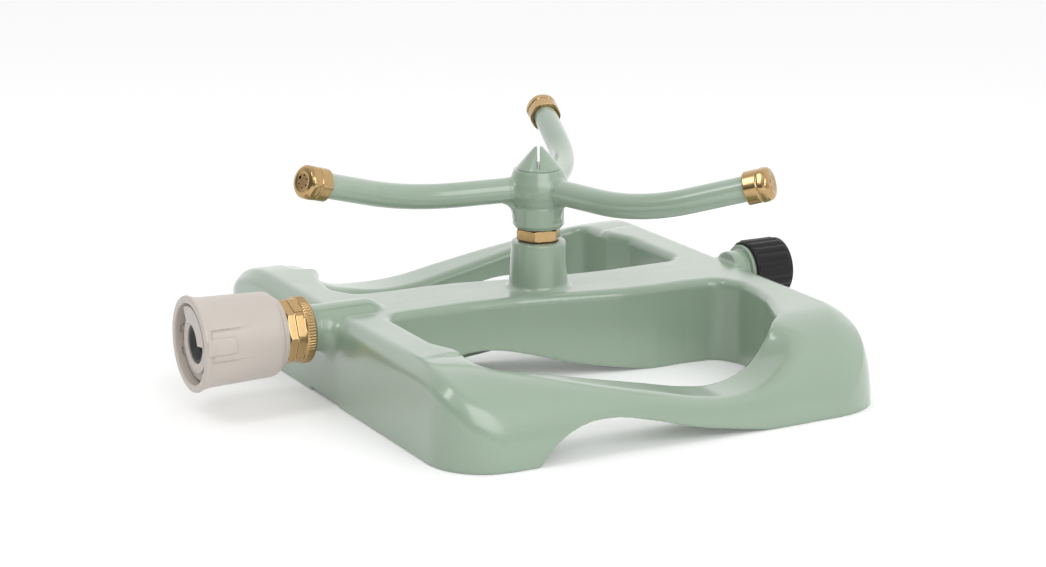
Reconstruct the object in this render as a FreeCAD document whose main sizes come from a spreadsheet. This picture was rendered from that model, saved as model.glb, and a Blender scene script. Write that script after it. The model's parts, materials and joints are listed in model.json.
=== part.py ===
import FreeCAD, Part
import math
import os

import Sketcher
from FreeCAD import Placement, Rotation, Vector

# Three-arm rotary lawn sprinkler on a cast sled base.
#
# Millimetres, +Z up. The origin is the middle of the ground rectangle that the sprinkler covers, and
# the rotor's axis stands rotor_x along +X from it. The water way runs along X at height pipe_z: the
# hose coupler is at the -X end and the screw cap at the +X end. The base looks the same when it is
# turned half a turn about the rotor's axis, so both windows, rails and arches come from one outline.

SIZES = {
    # place of the rotor's axis
    "rotor_x": 20.75,
    # cast base
    "base_half_x": 112.1,
    "base_half_y": 137.2,
    "plan_radius": 28.0,
    "plate_top": 40.8,
    "shell_wall": 3.0,
    "side_draft": 2.4,
    "edge_x": 105.1,
    "edge_drop": 5.6,
    "edge_run": 5.4,
    "end_top_y": 93.0,
    "end_top_radius": 51.6,
    "end_knee_y": 127.0,
    "end_knee_z": 28.0,
    "end_knee_share": 0.71,
    "end_foot_radius": 43.5,
    # windows, front one
    "window_left": 87.5,
    "window_right": 88.8,
    "window_corner_x": 66.0,
    "window_side_radius": 150.0,
    "bridge_bend_x": 30.0,
    "window_far": 108.0,
    "bridge_left_y": 15.0,
    "bridge_narrow_y": 15.8,
    "bridge_wide_y": 25.8,
    "bridge_right_y": 26.5,
    "window_left_radius": 11.0,
    "window_right_radius": 9.0,
    "window_far_radius": 30.0,
    "window_edge_radius": 3.5,
    # dip in each end rail
    "dip_start_x": 88.0,
    "dip_start_z": 41.5,
    "dip_shoulder_x": 70.0,
    "dip_shoulder_z": 36.6,
    "dip_sag_radius": 600.0,
    "dip_low_x": 28.0,
    "dip_low_z": 16.4,
    "dip_radius": 31.0,
    "dip_rise_x": 56.0,
    "dip_rise_z": 25.5,
    "dip_end_x": 73.0,
    "dip_end_z": 42.0,
    "dip_near_y": 90.0,
    "dip_far_y": 144.0,
    "dip_skew": 13.5,
    "dip_fall": 1.5,
    # arch under each end rail
    "arch_left": 74.0,
    "arch_spring_x": 59.0,
    "arch_spring_z": 11.2,
    "arch_radius": 25.0,
    "arch_top_x": 40.0,
    "arch_top_z": 17.3,
    "arch_crown_radius": 40.0,
    "arch_fall_x": 22.0,
    "arch_fall_z": 14.8,
    "arch_slope_x": 8.0,
    "arch_slope_z": 7.0,
    "arch_right": 55.0,
    "arch_near_y": 12.0,
    "relief_height": 1.4,
    "relief_half": 16.0,
    # water way, riser boss and the two necks
    "pipe_z": 34.8,
    "pipe_bore": 4.8,
    "spine_radius": 10.4,
    "spine_end": 82.0,
    "spine_nose_radius": 9.0,
    "duct_radius": 5.6,
    "duct_half": 8.0,
    "duct_depth": 13.0,
    "boss_foot_radius": 14.2,
    "boss_top_radius": 12.9,
    "boss_top": 63.5,
    "boss_foot_fillet": 2.5,
    "boss_chamfer": 0.6,
    "boss_thread": 7.0,
    "boss_thread_depth": 12.0,
    "riser_bore": 4.5,
    "neck_radius": 11.4,
    "neck_root": 108.0,
    "outlet_root": 105.7,
    "inlet_thread": 13.2,
    "inlet_thread_start": 120.0,
    "inlet_end": 128.4,
    "filter_seat": 9.05,
    "filter_seat_depth": 1.25,
    "inlet_bore": 6.6,
    "outlet_neck_radius": 10.5,
    "outlet_flange": 12.9,
    "outlet_flange_start": 113.6,
    "outlet_thread": 12.6,
    "outlet_thread_start": 115.3,
    "outlet_end": 131.0,
    # brass spindle and what it holds
    "gasket_thickness": 0.5,
    "hex_flats": 19.0,
    "hex_top": 69.5,
    "journal": 4.5,
    "spindle_bore": 2.6,
    "groove_low": 74.0,
    "groove_height": 1.8,
    "groove_radius": 3.1,
    "ring_cord": 0.66,
    "spindle_thread": 3.6,
    "spindle_top": 86.3,
    "lower_washer_radius": 8.5,
    "upper_washer_radius": 7.0,
    "upper_washer_thickness": 0.8,
    "nut_flats": 12.0,
    "nut_height": 3.5,
    # rotor hub and cap
    "fit": 0.05,
    "snug": 0.02,
    "skirt_foot": 70.0,
    "skirt_radius": 12.3,
    "skirt_lip": 11.3,
    "skirt_lip_height": 1.0,
    "skirt_top": 80.4,
    "hub_radius": 11.6,
    "hub_top": 98.0,
    "chamber_floor": 81.0,
    "chamber_radius": 7.2,
    "cap_radius": 12.0,
    "cap_rim": 1.2,
    "cap_tip_radius": 2.6,
    "cap_top": 108.7,
    "cap_plug_depth": 2.5,
    "cap_groove_radius": 5.9,
    "slot_width": 1.8,
    "slot_depth": 8.5,
    "gusset_reach": 20.0,
    "gusset_drop": 8.0,
    "gusset_width": 6.0,
    "gusset_radius": 9.0,
    "socket_radius": 6.9,
    "socket_length": 13.4,
    # arms
    "arm_azimuth": 60.94,
    "arm_radius": 5.95,
    "arm_bore": 4.2,
    "arm_start": 8.0,
    "arm_z": 88.9,
    "knee_reach": 62.0,
    "knee_offset": -13.3,
    "knee_z": 87.0,
    "tip_reach": 117.4,
    "tip_z": 103.3,
    # nozzles
    "nozzle_radius": 8.3,
    "nozzle_skirt": 7.0,
    "nozzle_band": 0.5,
    "nozzle_front": 5.5,
    "nozzle_nose": 5.6,
    "nozzle_flats": 14.8,
    "nozzle_chamber": 4.4,
    "nozzle_wall": 3.5,
    "nozzle_washer_thickness": 1.0,
    "nozzle_washer_bore": 3.0,
    "spray_circle": 2.9,
    "spray_small": 0.5,
    "spray_large": 0.85,
    # inlet nut, washer and filter
    "knurl_radius": 15.5,
    "knurl_start": 121.5,
    "knurl_length": 4.0,
    "knurl_depth": 0.35,
    "inlet_nut_end": 134.5,
    "octagon_flats": 28.4,
    "inlet_nut_bore": 13.3,
    "inlet_lip": 9.7,
    "inlet_lip_thickness": 2.0,
    "inlet_washer_bore": 6.5,
    "inlet_washer_thickness": 1.8,
    "filter_cup": 5.4,
    "filter_depth": 5.0,
    "filter_wall": 0.8,
    # hose coupler
    "coupler_flange": 12.9,
    "coupler_flange_thickness": 2.2,
    "coupler_tail": 9.5,
    "coupler_step_start": 135.0,
    "coupler_step_radius": 16.0,
    "coupler_ring_start": 136.5,
    "coupler_ring_radius": 17.2,
    "collar_start": 138.1,
    "barrel": 16.7,
    "coupler_face": 171.5,
    "coupler_bore": 5.2,
    "claw_front": 177.0,
    "claw_inner": 10.4,
    "claw_outer": 16.6,
    "claw_start": 60.0,
    "claw_sweep": 128.0,
    "seal_seat": 168.5,
    "seal_seat_radius": 9.2,
    "seal_front": 174.0,
    "collar_rear_radius": 19.6,
    "collar_round": 2.6,
    "collar_waist": 160.0,
    "collar_waist_radius": 20.3,
    "collar_lip_start": 172.0,
    "collar_flare_radius": 6.0,
    "collar_lip_radius": 22.2,
    "collar_front": 177.5,
    "collar_counterbore": 167.9,
    "collar_mouth": 18.6,
    "spring_ring_radius": 18.2,
    "spring_ring_thickness": 1.2,
    "spring_ring_gap": 5.0,
    "spring_groove_radius": 15.9,
    "tab_width": 8.0,
    "tab_length": 14.0,
    "tab_height": 22.0,
    # outlet cap
    "cap_start": 115.7,
    "cap_end": 136.0,
    "cap_outer": 14.4,
    "cap_rib_radius": 15.0,
    "cap_bore": 12.7,
    "cap_floor": 133.1,
    "cap_washer_bore": 6.0,
    "cap_washer_thickness": 2.0,
    "rib_width": 2.6,
}

RIBS = 20
KNURLS = 72
ARMS = 3

document = FreeCAD.newDocument("rotary_sprinkler")
sheet = document.addObject("Spreadsheet::Sheet", "Sizes")
for row, (alias, value) in enumerate(SIZES.items(), start=1):
    sheet.set(f"A{row}", alias)
    sheet.set(f"B{row}", str(value))
    sheet.setAlias(f"B{row}", alias)
document.recompute()

# Part names that are written as files, in the order they are built.
finished = []


# ---- sums of sizes, sketches and features ----------------------------------------------------------

def size(formula):
    """Value of a sum such as "plate_top - shell_wall" or "0.5*hex_flats + 2"."""
    total = 0.0
    sign = 1.0
    for token in formula.split():
        if token in ("+", "-"):
            sign = 1.0 if token == "+" else -1.0
            continue
        product = sign
        for factor in token.split("*"):
            product *= SIZES[factor] if factor in SIZES else float(factor)
        total += product
    return total


def bound(formula):
    """The same sum written as an expression on the sheet."""
    tokens = []
    for token in formula.split():
        factors = [f"Sizes.{f}" if f in SIZES else f for f in token.split("*")]
        tokens.append("*".join(factors))
    if tokens[0] == "-":
        tokens.insert(0, "0")
    return " ".join(tokens)


def minus(formula):
    """The negative of a sum."""
    flipped = {"+": "-", "-": "+"}
    tokens = [flipped.get(token, token) for token in formula.split()]
    if formula.split()[0] in flipped:
        return " ".join(tokens).removeprefix("+ ")
    return "- " + " ".join(tokens)


def home(turn=0.0):
    """Placement on the rotor's axis at ground level, turned about Z by an angle in degrees."""
    return Placement(Vector(SIZES["rotor_x"], 0, 0), Rotation(Vector(0, 0, 1), turn))


def new_body(label, place=None):
    body = document.addObject("PartDesign::Body", label)
    body.Label = label
    body.Placement = place or home()
    return body


def finish(thing, label):
    """Marks an object as a finished sub-part: its label names its file."""
    thing.Label = label
    finished.append(thing)
    return thing


def new_sketch(body, name, role, offset="0"):
    """Empty sketch on one of the body's own origin planes, moved along the plane's normal."""
    sketch = body.newObject("Sketcher::SketchObject", name)
    plane = next(item for item in body.Origin.OriginFeatures if item.Role == role)
    sketch.AttachmentSupport = [(plane, "")]
    sketch.MapMode = "FlatFace"
    sketch.AttachmentOffset = Placement(Vector(0, 0, size(offset)), Rotation())
    if offset != "0":
        sketch.setExpression("AttachmentOffset.Base.z", bound(offset))
    return sketch


def tie(sketch, kind, geometry, point, formula):
    """Ties one coordinate of a point to the sheet, or to the sketch's axis when it is zero."""
    if formula == "0":
        axis = -2 if kind == "DistanceX" else -1
        sketch.addConstraint(Sketcher.Constraint("PointOnObject", geometry, point, axis))
        return
    index = sketch.addConstraint(
        Sketcher.Constraint(kind, -1, 1, geometry, point, size(formula))
    )
    sketch.setExpression(f"Constraints[{index}]", bound(formula))


def outline(sketch, corners):
    """Closed outline through corners (x, y), every one tied to the sheet.

    A corner (x, y, radius) starts an arc of that radius to the next corner, bulging to the right of
    the way there, and (x, y, radius, "left") one that bulges to the left.
    """
    points = [Vector(size(corner[0]), size(corner[1]), 0) for corner in corners]
    starts = []
    ends = []
    for index, corner in enumerate(corners):
        first = points[index]
        last = points[(index + 1) % len(points)]
        if len(corner) == 2:
            sketch.addGeometry(Part.LineSegment(first, last), False)
        else:
            radius = size(corner[2])
            chord = last - first
            sagitta = radius - math.sqrt(radius**2 - 0.25 * chord.Length**2)
            side = -1.0 if corner[3:] == ("left",) else 1.0
            normal = Vector(chord.y, -chord.x, 0).normalize()
            middle = (first + last) * 0.5 + normal * (side * sagitta)
            sketch.addGeometry(Part.Arc(first, middle, last), False)
            bend = sketch.addConstraint(Sketcher.Constraint("Radius", index, radius))
            sketch.setExpression(f"Constraints[{bend}]", bound(corner[2]))
        forward = (sketch.getPoint(index, 1) - first).Length < 1e-4
        starts.append(1 if forward else 2)
        ends.append(2 if forward else 1)
    for index, corner in enumerate(corners):
        following = (index + 1) % len(corners)
        sketch.addConstraint(
            Sketcher.Constraint("Coincident", index, ends[index], following, starts[following])
        )
        tie(sketch, "DistanceX", index, starts[index], corner[0])
        tie(sketch, "DistanceY", index, starts[index], corner[1])
    return sketch


def circle(sketch, radius, x="0", y="0"):
    """Circle tied to the sheet by its centre and radius."""
    centre = Vector(size(x), size(y), 0)
    index = sketch.addGeometry(Part.Circle(centre, Vector(0, 0, 1), size(radius)), False)
    bend = sketch.addConstraint(Sketcher.Constraint("Radius", index, size(radius)))
    sketch.setExpression(f"Constraints[{bend}]", bound(radius))
    tie(sketch, "DistanceX", index, 3, x)
    tie(sketch, "DistanceY", index, 3, y)
    return sketch


def polygon(sketch, sides, flats):
    """Regular polygon about the sketch's origin, given its width across flats."""
    corner_radius = 0.5 * size(flats) / math.cos(math.pi / sides)
    points = []
    for side in range(sides):
        angle = math.radians(360.0 * (side + 0.5) / sides)
        points.append(Vector(math.cos(angle), math.sin(angle), 0) * corner_radius)
    for side in range(sides):
        sketch.addGeometry(Part.LineSegment(points[side], points[(side + 1) % sides]), False)
    for side in range(sides):
        following = (side + 1) % sides
        sketch.addConstraint(Sketcher.Constraint("Coincident", side, 2, following, 1))
    rim = sketch.addGeometry(Part.Circle(Vector(), Vector(0, 0, 1), corner_radius), True)
    sketch.addConstraint(Sketcher.Constraint("Coincident", rim, 3, -1, 1))
    for side in range(sides):
        sketch.addConstraint(Sketcher.Constraint("PointOnObject", side, 1, rim))
    for side in range(1, sides):
        sketch.addConstraint(Sketcher.Constraint("Equal", 0, side))
    sketch.addConstraint(Sketcher.Constraint("Vertical", sides - 1))
    bend = sketch.addConstraint(Sketcher.Constraint("Radius", rim, corner_radius))
    scale = 0.5 / math.cos(math.pi / sides)
    sketch.setExpression(f"Constraints[{bend}]", f"{scale:.9f} * ({bound(flats)})")
    return sketch


def feature(body, kind, name, sketch, **settings):
    """PartDesign feature on a sketch; text settings are sums tied to the sheet."""
    made = body.newObject(f"PartDesign::{kind}", name)
    made.Profile = (sketch, [""])
    for setting, value in settings.items():
        if isinstance(value, str) and setting in ("Length", "Length2", "TaperAngle"):
            setattr(made, setting, size(value))
            made.setExpression(setting, bound(value))
        else:
            setattr(made, setting, value)
    body.Tip = made
    document.recompute()
    return made


def pocket(body, name, sketch, **settings):
    """Pocket that must take material away."""
    before = body.Shape.Volume
    made = feature(body, "Pocket", name, sketch, **settings)
    assert body.Shape.Volume < before - 1e-3, f"{name} cuts nothing"
    return made


def through(body, name, sketch):
    """Pocket through the whole body, both ways from its sketch."""
    return pocket(body, name, sketch, Type="ThroughAll", SideType="Symmetric")


def turned(label, corners, axis="V_Axis", place=None):
    """Body turned about the sketch's vertical axis (Z) or its horizontal one (X)."""
    body = new_body(label, place)
    sketch = outline(new_sketch(body, f"{label}_profile", "XZ_Plane"), corners)
    feature(body, "Revolution", f"{label}_turning", sketch, ReferenceAxis=(sketch, [axis]), Angle=360)
    return body


def tube(label, inner, outer, start, end, axis="V_Axis", place=None):
    """Plain ring or, with inner "0", disc about the chosen axis, between two stations along it."""
    along = [(inner, start), (outer, start), (outer, end), (inner, end)]
    if axis == "H_Axis":
        along = [(station, radius) for radius, station in along]
    return turned(label, along, axis, place)


def round_edges(body, name, radius, chosen):
    """Fillet on those of the body's edges that the test picks."""
    base = body.Tip
    picked = []
    for index, edge in enumerate(base.Shape.Edges, start=1):
        if chosen(edge):
            picked.append(f"Edge{index}")
    assert picked, f"{name} finds no edge"
    made = body.newObject("PartDesign::Fillet", name)
    made.Base = (base, picked)
    made.Radius = size(radius)
    made.setExpression("Radius", bound(radius))
    body.Tip = made
    document.recompute()
    return made


def polar(body, name, seed, axis_role, count):
    """Repeats a feature round one of the body's own axes."""
    axis = next(item for item in body.Origin.OriginFeatures if item.Role == axis_role)
    made = body.newObject("PartDesign::PolarPattern", name)
    made.Originals = [seed]
    made.Axis = (axis, [""])
    made.Angle = 360
    made.Occurrences = count
    body.Tip = made
    document.recompute()
    return made


def cut(label, base, tools):
    """Base with every tool taken away."""
    made = document.addObject("Part::Cut", label)
    made.Base = base
    made.Tool = tools[0] if len(tools) == 1 else fuse(f"{label}_tools", tools)
    document.recompute()
    return made


def fuse(label, shapes):
    made = document.addObject("Part::MultiFuse", label)
    made.Shapes = shapes
    document.recompute()
    return made


def cylinder(label, radius, length, place):
    """Cylinder primitive tied to the sheet, along the placement's Z."""
    made = document.addObject("Part::Cylinder", label)
    made.setExpression("Radius", bound(radius))
    made.setExpression("Height", bound(length))
    made.Placement = place
    return made


def upright_at(x, y):
    """Test for an upright edge at a point of the plan, or at the point half a turn round from it."""
    spot = Vector(size(x), size(y), 0)

    def chosen(edge):
        foot, head = [Vector(vertex.X, vertex.Y, 0) for vertex in (edge.Vertexes[0], edge.Vertexes[-1])]
        if (foot - head).Length > 1e-3 or len(edge.Vertexes) < 2:
            return False
        return min((foot - spot).Length, (foot + spot).Length) < 0.01

    return chosen


# ---- cast base -------------------------------------------------------------------------------------

def base_block(label, inset):
    """Block of the base's plan, drawn in by the inset: the base itself, or its hollow."""
    body = new_body(label)
    half_x = f"base_half_x - {inset}"
    half_y = f"base_half_y - {inset}"
    flat_x = "base_half_x - plan_radius"
    flat_y = "base_half_y - plan_radius"
    radius = f"plan_radius - {inset}"
    plan = outline(
        new_sketch(body, f"{label}_plan", "XY_Plane"),
        [
            (flat_x, minus(half_y), radius),
            (half_x, minus(flat_y)),
            (half_x, flat_y, radius),
            (flat_x, half_y),
            (minus(flat_x), half_y, radius),
            (minus(half_x), flat_y),
            (minus(half_x), minus(flat_y), radius),
            (minus(flat_x), minus(half_y)),
        ],
    )
    feature(body, "Pad", f"{label}_pad", plan, Length=f"plate_top - {inset}", TaperAngle="- side_draft")
    return body


def shape_edges(body, label, inset):
    """Rounds the block's two ends over and bevels the top of its two sides."""
    top = f"plate_top - {inset}"
    knee_inset = f"{inset}*end_knee_share"
    end = outline(
        new_sketch(body, f"{label}_end", "YZ_Plane"),
        [
            ("end_top_y", top, f"end_top_radius - {inset}", "left"),
            (
                f"end_knee_y - {knee_inset}",
                f"end_knee_z - {knee_inset}",
                f"end_foot_radius - {inset}",
                "left",
            ),
            (f"base_half_y - {inset}", "0"),
            ("base_half_y + 20", "0"),
            ("base_half_y + 20", "plate_top + 20"),
            ("end_top_y", "plate_top + 20"),
        ],
    )
    polar(body, f"{label}_ends", through(body, f"{label}_end_cut", end), "Z_Axis", 2)
    side = outline(
        new_sketch(body, f"{label}_side", "XZ_Plane"),
        [
            (f"edge_x - {inset}", top),
            (f"edge_x + edge_run - {inset}", f"{top} - edge_drop"),
            ("base_half_x + 20", f"{top} - edge_drop"),
            ("base_half_x + 20", "plate_top + 20"),
            (f"edge_x - {inset}", "plate_top + 20"),
        ],
    )
    polar(body, f"{label}_sides", through(body, f"{label}_side_cut", side), "Z_Axis", 2)


def cut_windows(body, label, wall):
    """Two windows; a wall's thickness wider all round where they are cut from the hollow."""
    sketch = outline(
        new_sketch(body, f"{label}_window", "XY_Plane"),
        [
            (f"- window_left - {wall}", f"- window_far - {wall}"),
            (f"window_corner_x + {wall}", f"- window_far - {wall}", f"window_side_radius + {wall}"),
            (f"window_right + {wall}", f"- bridge_right_y + {wall}"),
            ("bridge_bend_x", f"- bridge_wide_y + {wall}"),
            ("- bridge_bend_x", f"- bridge_narrow_y + {wall}"),
            (f"- window_left - {wall}", f"- bridge_left_y + {wall}"),
        ],
    )
    opening = pocket(body, f"{label}_window_cut", sketch, Type="ThroughAll", SideType="Symmetric")
    polar(body, f"{label}_windows", opening, "Z_Axis", 2)


def dip_outline(body, label, station, side, lower):
    """Side view of a rail's dip, skewed and tipped a little towards the outside."""
    skew = f"{side} dip_skew"
    half_skew = f"{side} 0.5*dip_skew"
    fall = f"{'-' if side == '+' else '+'} dip_fall - {lower}"
    return outline(
        new_sketch(body, label, "XZ_Plane", station),
        [
            ("- dip_start_x", f"dip_start_z {fall}"),
            ("- dip_shoulder_x", f"dip_shoulder_z {fall}", "dip_sag_radius"),
            (f"dip_low_x {half_skew}", f"dip_low_z {fall}", "dip_radius"),
            (f"dip_rise_x {skew}", f"dip_rise_z {fall}"),
            (f"dip_end_x {skew}", f"dip_end_z {fall}"),
            (f"dip_end_x {skew}", "plate_top + 20"),
            ("- dip_start_x", "plate_top + 20"),
        ],
    )


def cut_dips(body, label, lower):
    """Long dip over each end rail, lowered by the wall's thickness where it is cut from the hollow."""
    near = dip_outline(body, f"{label}_dip_near", "dip_near_y", "-", lower)
    far = dip_outline(body, f"{label}_dip_far", "dip_far_y", "+", lower)
    before = body.Shape.Volume
    dip = body.newObject("PartDesign::SubtractiveLoft", f"{label}_dip")
    dip.Profile = (near, [""])
    dip.Sections = [(far, [""])]
    dip.Ruled = True
    body.Tip = dip
    document.recompute()
    assert body.Shape.Volume < before - 1, f"{label}_dip cuts nothing"
    polar(body, f"{label}_dips", dip, "Z_Axis", 2)


def cut_arches(body):
    """Low arch under each end rail: steep on one side and long and shallow on the other."""
    sketch = outline(
        new_sketch(body, "arch", "XZ_Plane", "arch_near_y"),
        [
            ("- arch_left", "- 1"),
            ("- arch_spring_x", "arch_spring_z", "arch_radius", "left"),
            ("- arch_top_x", "arch_top_z", "arch_crown_radius", "left"),
            ("- arch_fall_x", "arch_fall_z"),
            ("arch_slope_x", "arch_slope_z"),
            ("arch_right", "- 1"),
        ],
    )
    arch = pocket(body, "arch_cut", sketch, Length="base_half_y - arch_near_y + 10", Reversed=True)
    polar(body, "arches", arch, "Z_Axis", 2)


def along_pipe(z_shift=0.0):
    """Placement with the local X axis on the water way's axis."""
    place = home()
    place.Base.z = SIZES["pipe_z"] + z_shift
    return place


def build_base():
    outer = base_block("base_outer", "0")
    cut_windows(outer, "base_outer", "0")
    round_edges(
        outer, "window_inner_corners", "window_left_radius", upright_at("- window_left", "- bridge_left_y")
    )
    round_edges(
        outer, "window_outer_corners", "window_left_radius", upright_at("- window_left", "- window_far")
    )
    corner = upright_at("window_right", "- bridge_right_y")
    round_edges(outer, "window_bridge_corners", "window_right_radius", corner)
    round_edges(
        outer, "window_far_corners", "window_far_radius", upright_at("window_corner_x", "- window_far")
    )

    def on_window_rim(edge):
        middle = edge.CenterOfMass
        level = all(abs(vertex.Z - SIZES["plate_top"]) < 1e-3 for vertex in edge.Vertexes)
        return level and abs(middle.x) < SIZES["edge_x"] - 2 and abs(middle.y) < SIZES["window_far"] + 1

    round_edges(outer, "window_rims", "window_edge_radius", on_window_rim)
    shape_edges(outer, "base_outer", "0")
    cut_dips(outer, "base_outer", "0")
    cut_arches(outer)

    hollow = base_block("base_hollow", "shell_wall")
    cut_windows(hollow, "base_hollow", "shell_wall")
    shape_edges(hollow, "base_hollow", "shell_wall")
    cut_dips(hollow, "base_hollow", "shell_wall")

    shell = cut("base_walls", outer, [hollow])

    boss = turned(
        "riser_boss",
        [
            ("0", "plate_top - duct_depth"),
            ("boss_foot_radius", "plate_top - duct_depth"),
            ("boss_foot_radius + boss_foot_fillet", "plate_top - 1"),
            ("boss_foot_radius + boss_foot_fillet", "plate_top", "boss_foot_fillet", "left"),
            ("boss_foot_radius", "plate_top + boss_foot_fillet"),
            ("boss_top_radius", "boss_top - boss_chamfer"),
            ("boss_top_radius - boss_chamfer", "boss_top"),
            ("0", "boss_top"),
        ],
    )
    neck_profile = [
        ("- inlet_end", "0"),
        ("- inlet_end", "inlet_thread"),
        ("- inlet_thread_start", "inlet_thread"),
        ("- inlet_thread_start", "neck_radius"),
        ("- neck_root", "neck_radius"),
        ("- neck_root", "spine_radius"),
        ("- spine_end - 6", "spine_radius", "spine_nose_radius", "left"),
        ("- spine_end", "duct_radius"),
        ("outlet_root", "duct_radius"),
        ("outlet_root", "outlet_neck_radius"),
        ("outlet_flange_start", "outlet_neck_radius"),
        ("outlet_flange_start", "outlet_flange"),
        ("outlet_thread_start", "outlet_flange"),
        ("outlet_thread_start", "outlet_thread"),
        ("outlet_end", "outlet_thread"),
        ("outlet_end", "0"),
    ]
    pipe = turned("water_pipe", neck_profile, "H_Axis", along_pipe())
    duct = document.addObject("Part::Box", "duct")
    duct.setExpression("Length", "Sizes.spine_end + Sizes.outlet_root")
    duct.setExpression("Width", "2*Sizes.duct_half")
    duct.setExpression("Height", "Sizes.duct_depth - 1")
    duct.Placement = Placement(
        Vector(size("rotor_x - spine_end"), size("- duct_half"), size("plate_top - duct_depth")), Rotation()
    )
    casting = fuse("base_casting", [shell, boss, pipe, duct])

    bore_profile = [
        ("- inlet_end - 1", "0"),
        ("- inlet_end - 1", "filter_seat"),
        ("- inlet_end + filter_seat_depth", "filter_seat"),
        ("- inlet_end + filter_seat_depth", "inlet_bore"),
        ("- neck_root", "inlet_bore"),
        ("- neck_root", "pipe_bore"),
        ("outlet_end + 1", "pipe_bore"),
        ("outlet_end + 1", "0"),
    ]
    bore = turned("water_bore", bore_profile, "H_Axis", along_pipe())
    riser = turned(
        "riser_bore_cutter",
        [
            ("0", "pipe_z"),
            ("riser_bore", "pipe_z"),
            ("riser_bore", "boss_top - boss_thread_depth"),
            ("boss_thread", "boss_top - boss_thread_depth"),
            ("boss_thread", "boss_top + 1"),
            ("0", "boss_top + 1"),
        ],
    )
    relief = document.addObject("Part::Box", "sole_relief")
    relief.setExpression("Length", "2*Sizes.base_half_x + 20")
    relief.setExpression("Width", "2*Sizes.relief_half")
    relief.setExpression("Height", "Sizes.relief_height + 5")
    relief.Placement = Placement(
        Vector(size("rotor_x - base_half_x - 10"), size("- relief_half"), -5), Rotation()
    )
    finish(cut("base_shell", casting, [bore, riser, relief]), "base_shell")


build_base()


# ---- brass spindle and what it carries -------------------------------------------------------------

def hexagon_head(body, name, flats, low, high):
    """Adds a hexagonal prism to a turned body."""
    sketch = polygon(new_sketch(body, f"{name}_outline", "XY_Plane", low), 6, flats)
    feature(body, "Pad", name, sketch, Length=f"{high} {minus(low)}")


def build_spindle():
    hex_foot = "boss_top + gasket_thickness"
    spindle = turned(
        "riser_spindle",
        [
            ("spindle_bore", "boss_top - boss_thread_depth"),
            ("boss_thread - snug", "boss_top - boss_thread_depth"),
            ("boss_thread - snug", hex_foot),
            ("journal", hex_foot),
            ("journal", "groove_low"),
            ("groove_radius", "groove_low"),
            ("groove_radius", "groove_low + groove_height"),
            ("journal", "groove_low + groove_height"),
            ("journal", "chamber_floor + upper_washer_thickness"),
            ("spindle_thread", "chamber_floor + upper_washer_thickness"),
            ("spindle_thread", "spindle_top"),
            ("spindle_bore", "spindle_top"),
        ],
    )
    hexagon_head(spindle, "spindle_hexagon", "hex_flats", hex_foot, "hex_top")
    passage = circle(new_sketch(spindle, "spindle_passage", "XY_Plane"), "spindle_bore")
    through(spindle, "spindle_passage_cut", passage)
    finish(spindle, "riser_spindle")

    finish(tube("riser_gasket", "boss_thread", "0.5*hex_flats", "boss_top", hex_foot), "riser_gasket")
    finish(
        tube("lower_thrust_washer", "journal", "lower_washer_radius", "hex_top", "skirt_foot"),
        "lower_thrust_washer",
    )
    finish(
        tube(
            "upper_thrust_washer",
            "journal + fit",
            "upper_washer_radius",
            "chamber_floor",
            "chamber_floor + upper_washer_thickness",
        ),
        "upper_thrust_washer",
    )
    cord_centre = "groove_radius + ring_cord + snug"
    ring = document.addObject("Part::Torus", "spindle_o_ring")
    ring.setExpression("Radius1", bound(cord_centre))
    ring.setExpression("Radius2", "Sizes.ring_cord")
    ring.Placement = home()
    ring.Placement.Base.z = size("groove_low + 0.5*groove_height")
    finish(ring, "spindle_o_ring")

    nut_foot = "chamber_floor + upper_washer_thickness"
    nut = new_body("retaining_nut")
    sketch = polygon(new_sketch(nut, "retaining_nut_outline", "XY_Plane", nut_foot), 6, "nut_flats")
    feature(nut, "Pad", "retaining_nut_pad", sketch, Length="nut_height")
    opening = circle(new_sketch(nut, "retaining_nut_opening", "XY_Plane"), "spindle_thread + snug")
    through(nut, "retaining_nut_bore", opening)
    finish(nut, "retaining_nut")


# ---- rotor -----------------------------------------------------------------------------------------

def arm_points(azimuth):
    """Hub end, knee and tip of an arm's centre line, relative to the rotor's axis at ground level."""
    out = Vector(math.cos(math.radians(azimuth)), math.sin(math.radians(azimuth)), 0)
    across = Vector(-out.y, out.x, 0)
    rise = Vector(0, 0, 1)
    knee = out * SIZES["knee_reach"] + across * SIZES["knee_offset"] + rise * SIZES["knee_z"]
    axis = rise * SIZES["arm_z"]
    start = axis + (knee - axis).normalize() * SIZES["arm_start"]
    tip = out * SIZES["tip_reach"] + rise * SIZES["tip_z"]
    return start, knee, tip


def frame_at(point, along, towards):
    """Placement at a point, its X axis along one direction and its Z axis leaning to another."""
    x_axis = Vector(along).normalize()
    z_axis = (towards - x_axis * towards.dot(x_axis)).normalize()
    y_axis = z_axis.cross(x_axis)
    turn = Rotation(x_axis, y_axis, z_axis, "XZY")
    return Placement(point + Vector(SIZES["rotor_x"], 0, 0), turn)


def arm_azimuth(number):
    return SIZES["arm_azimuth"] + 360.0 * (number - 1) / ARMS


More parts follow.
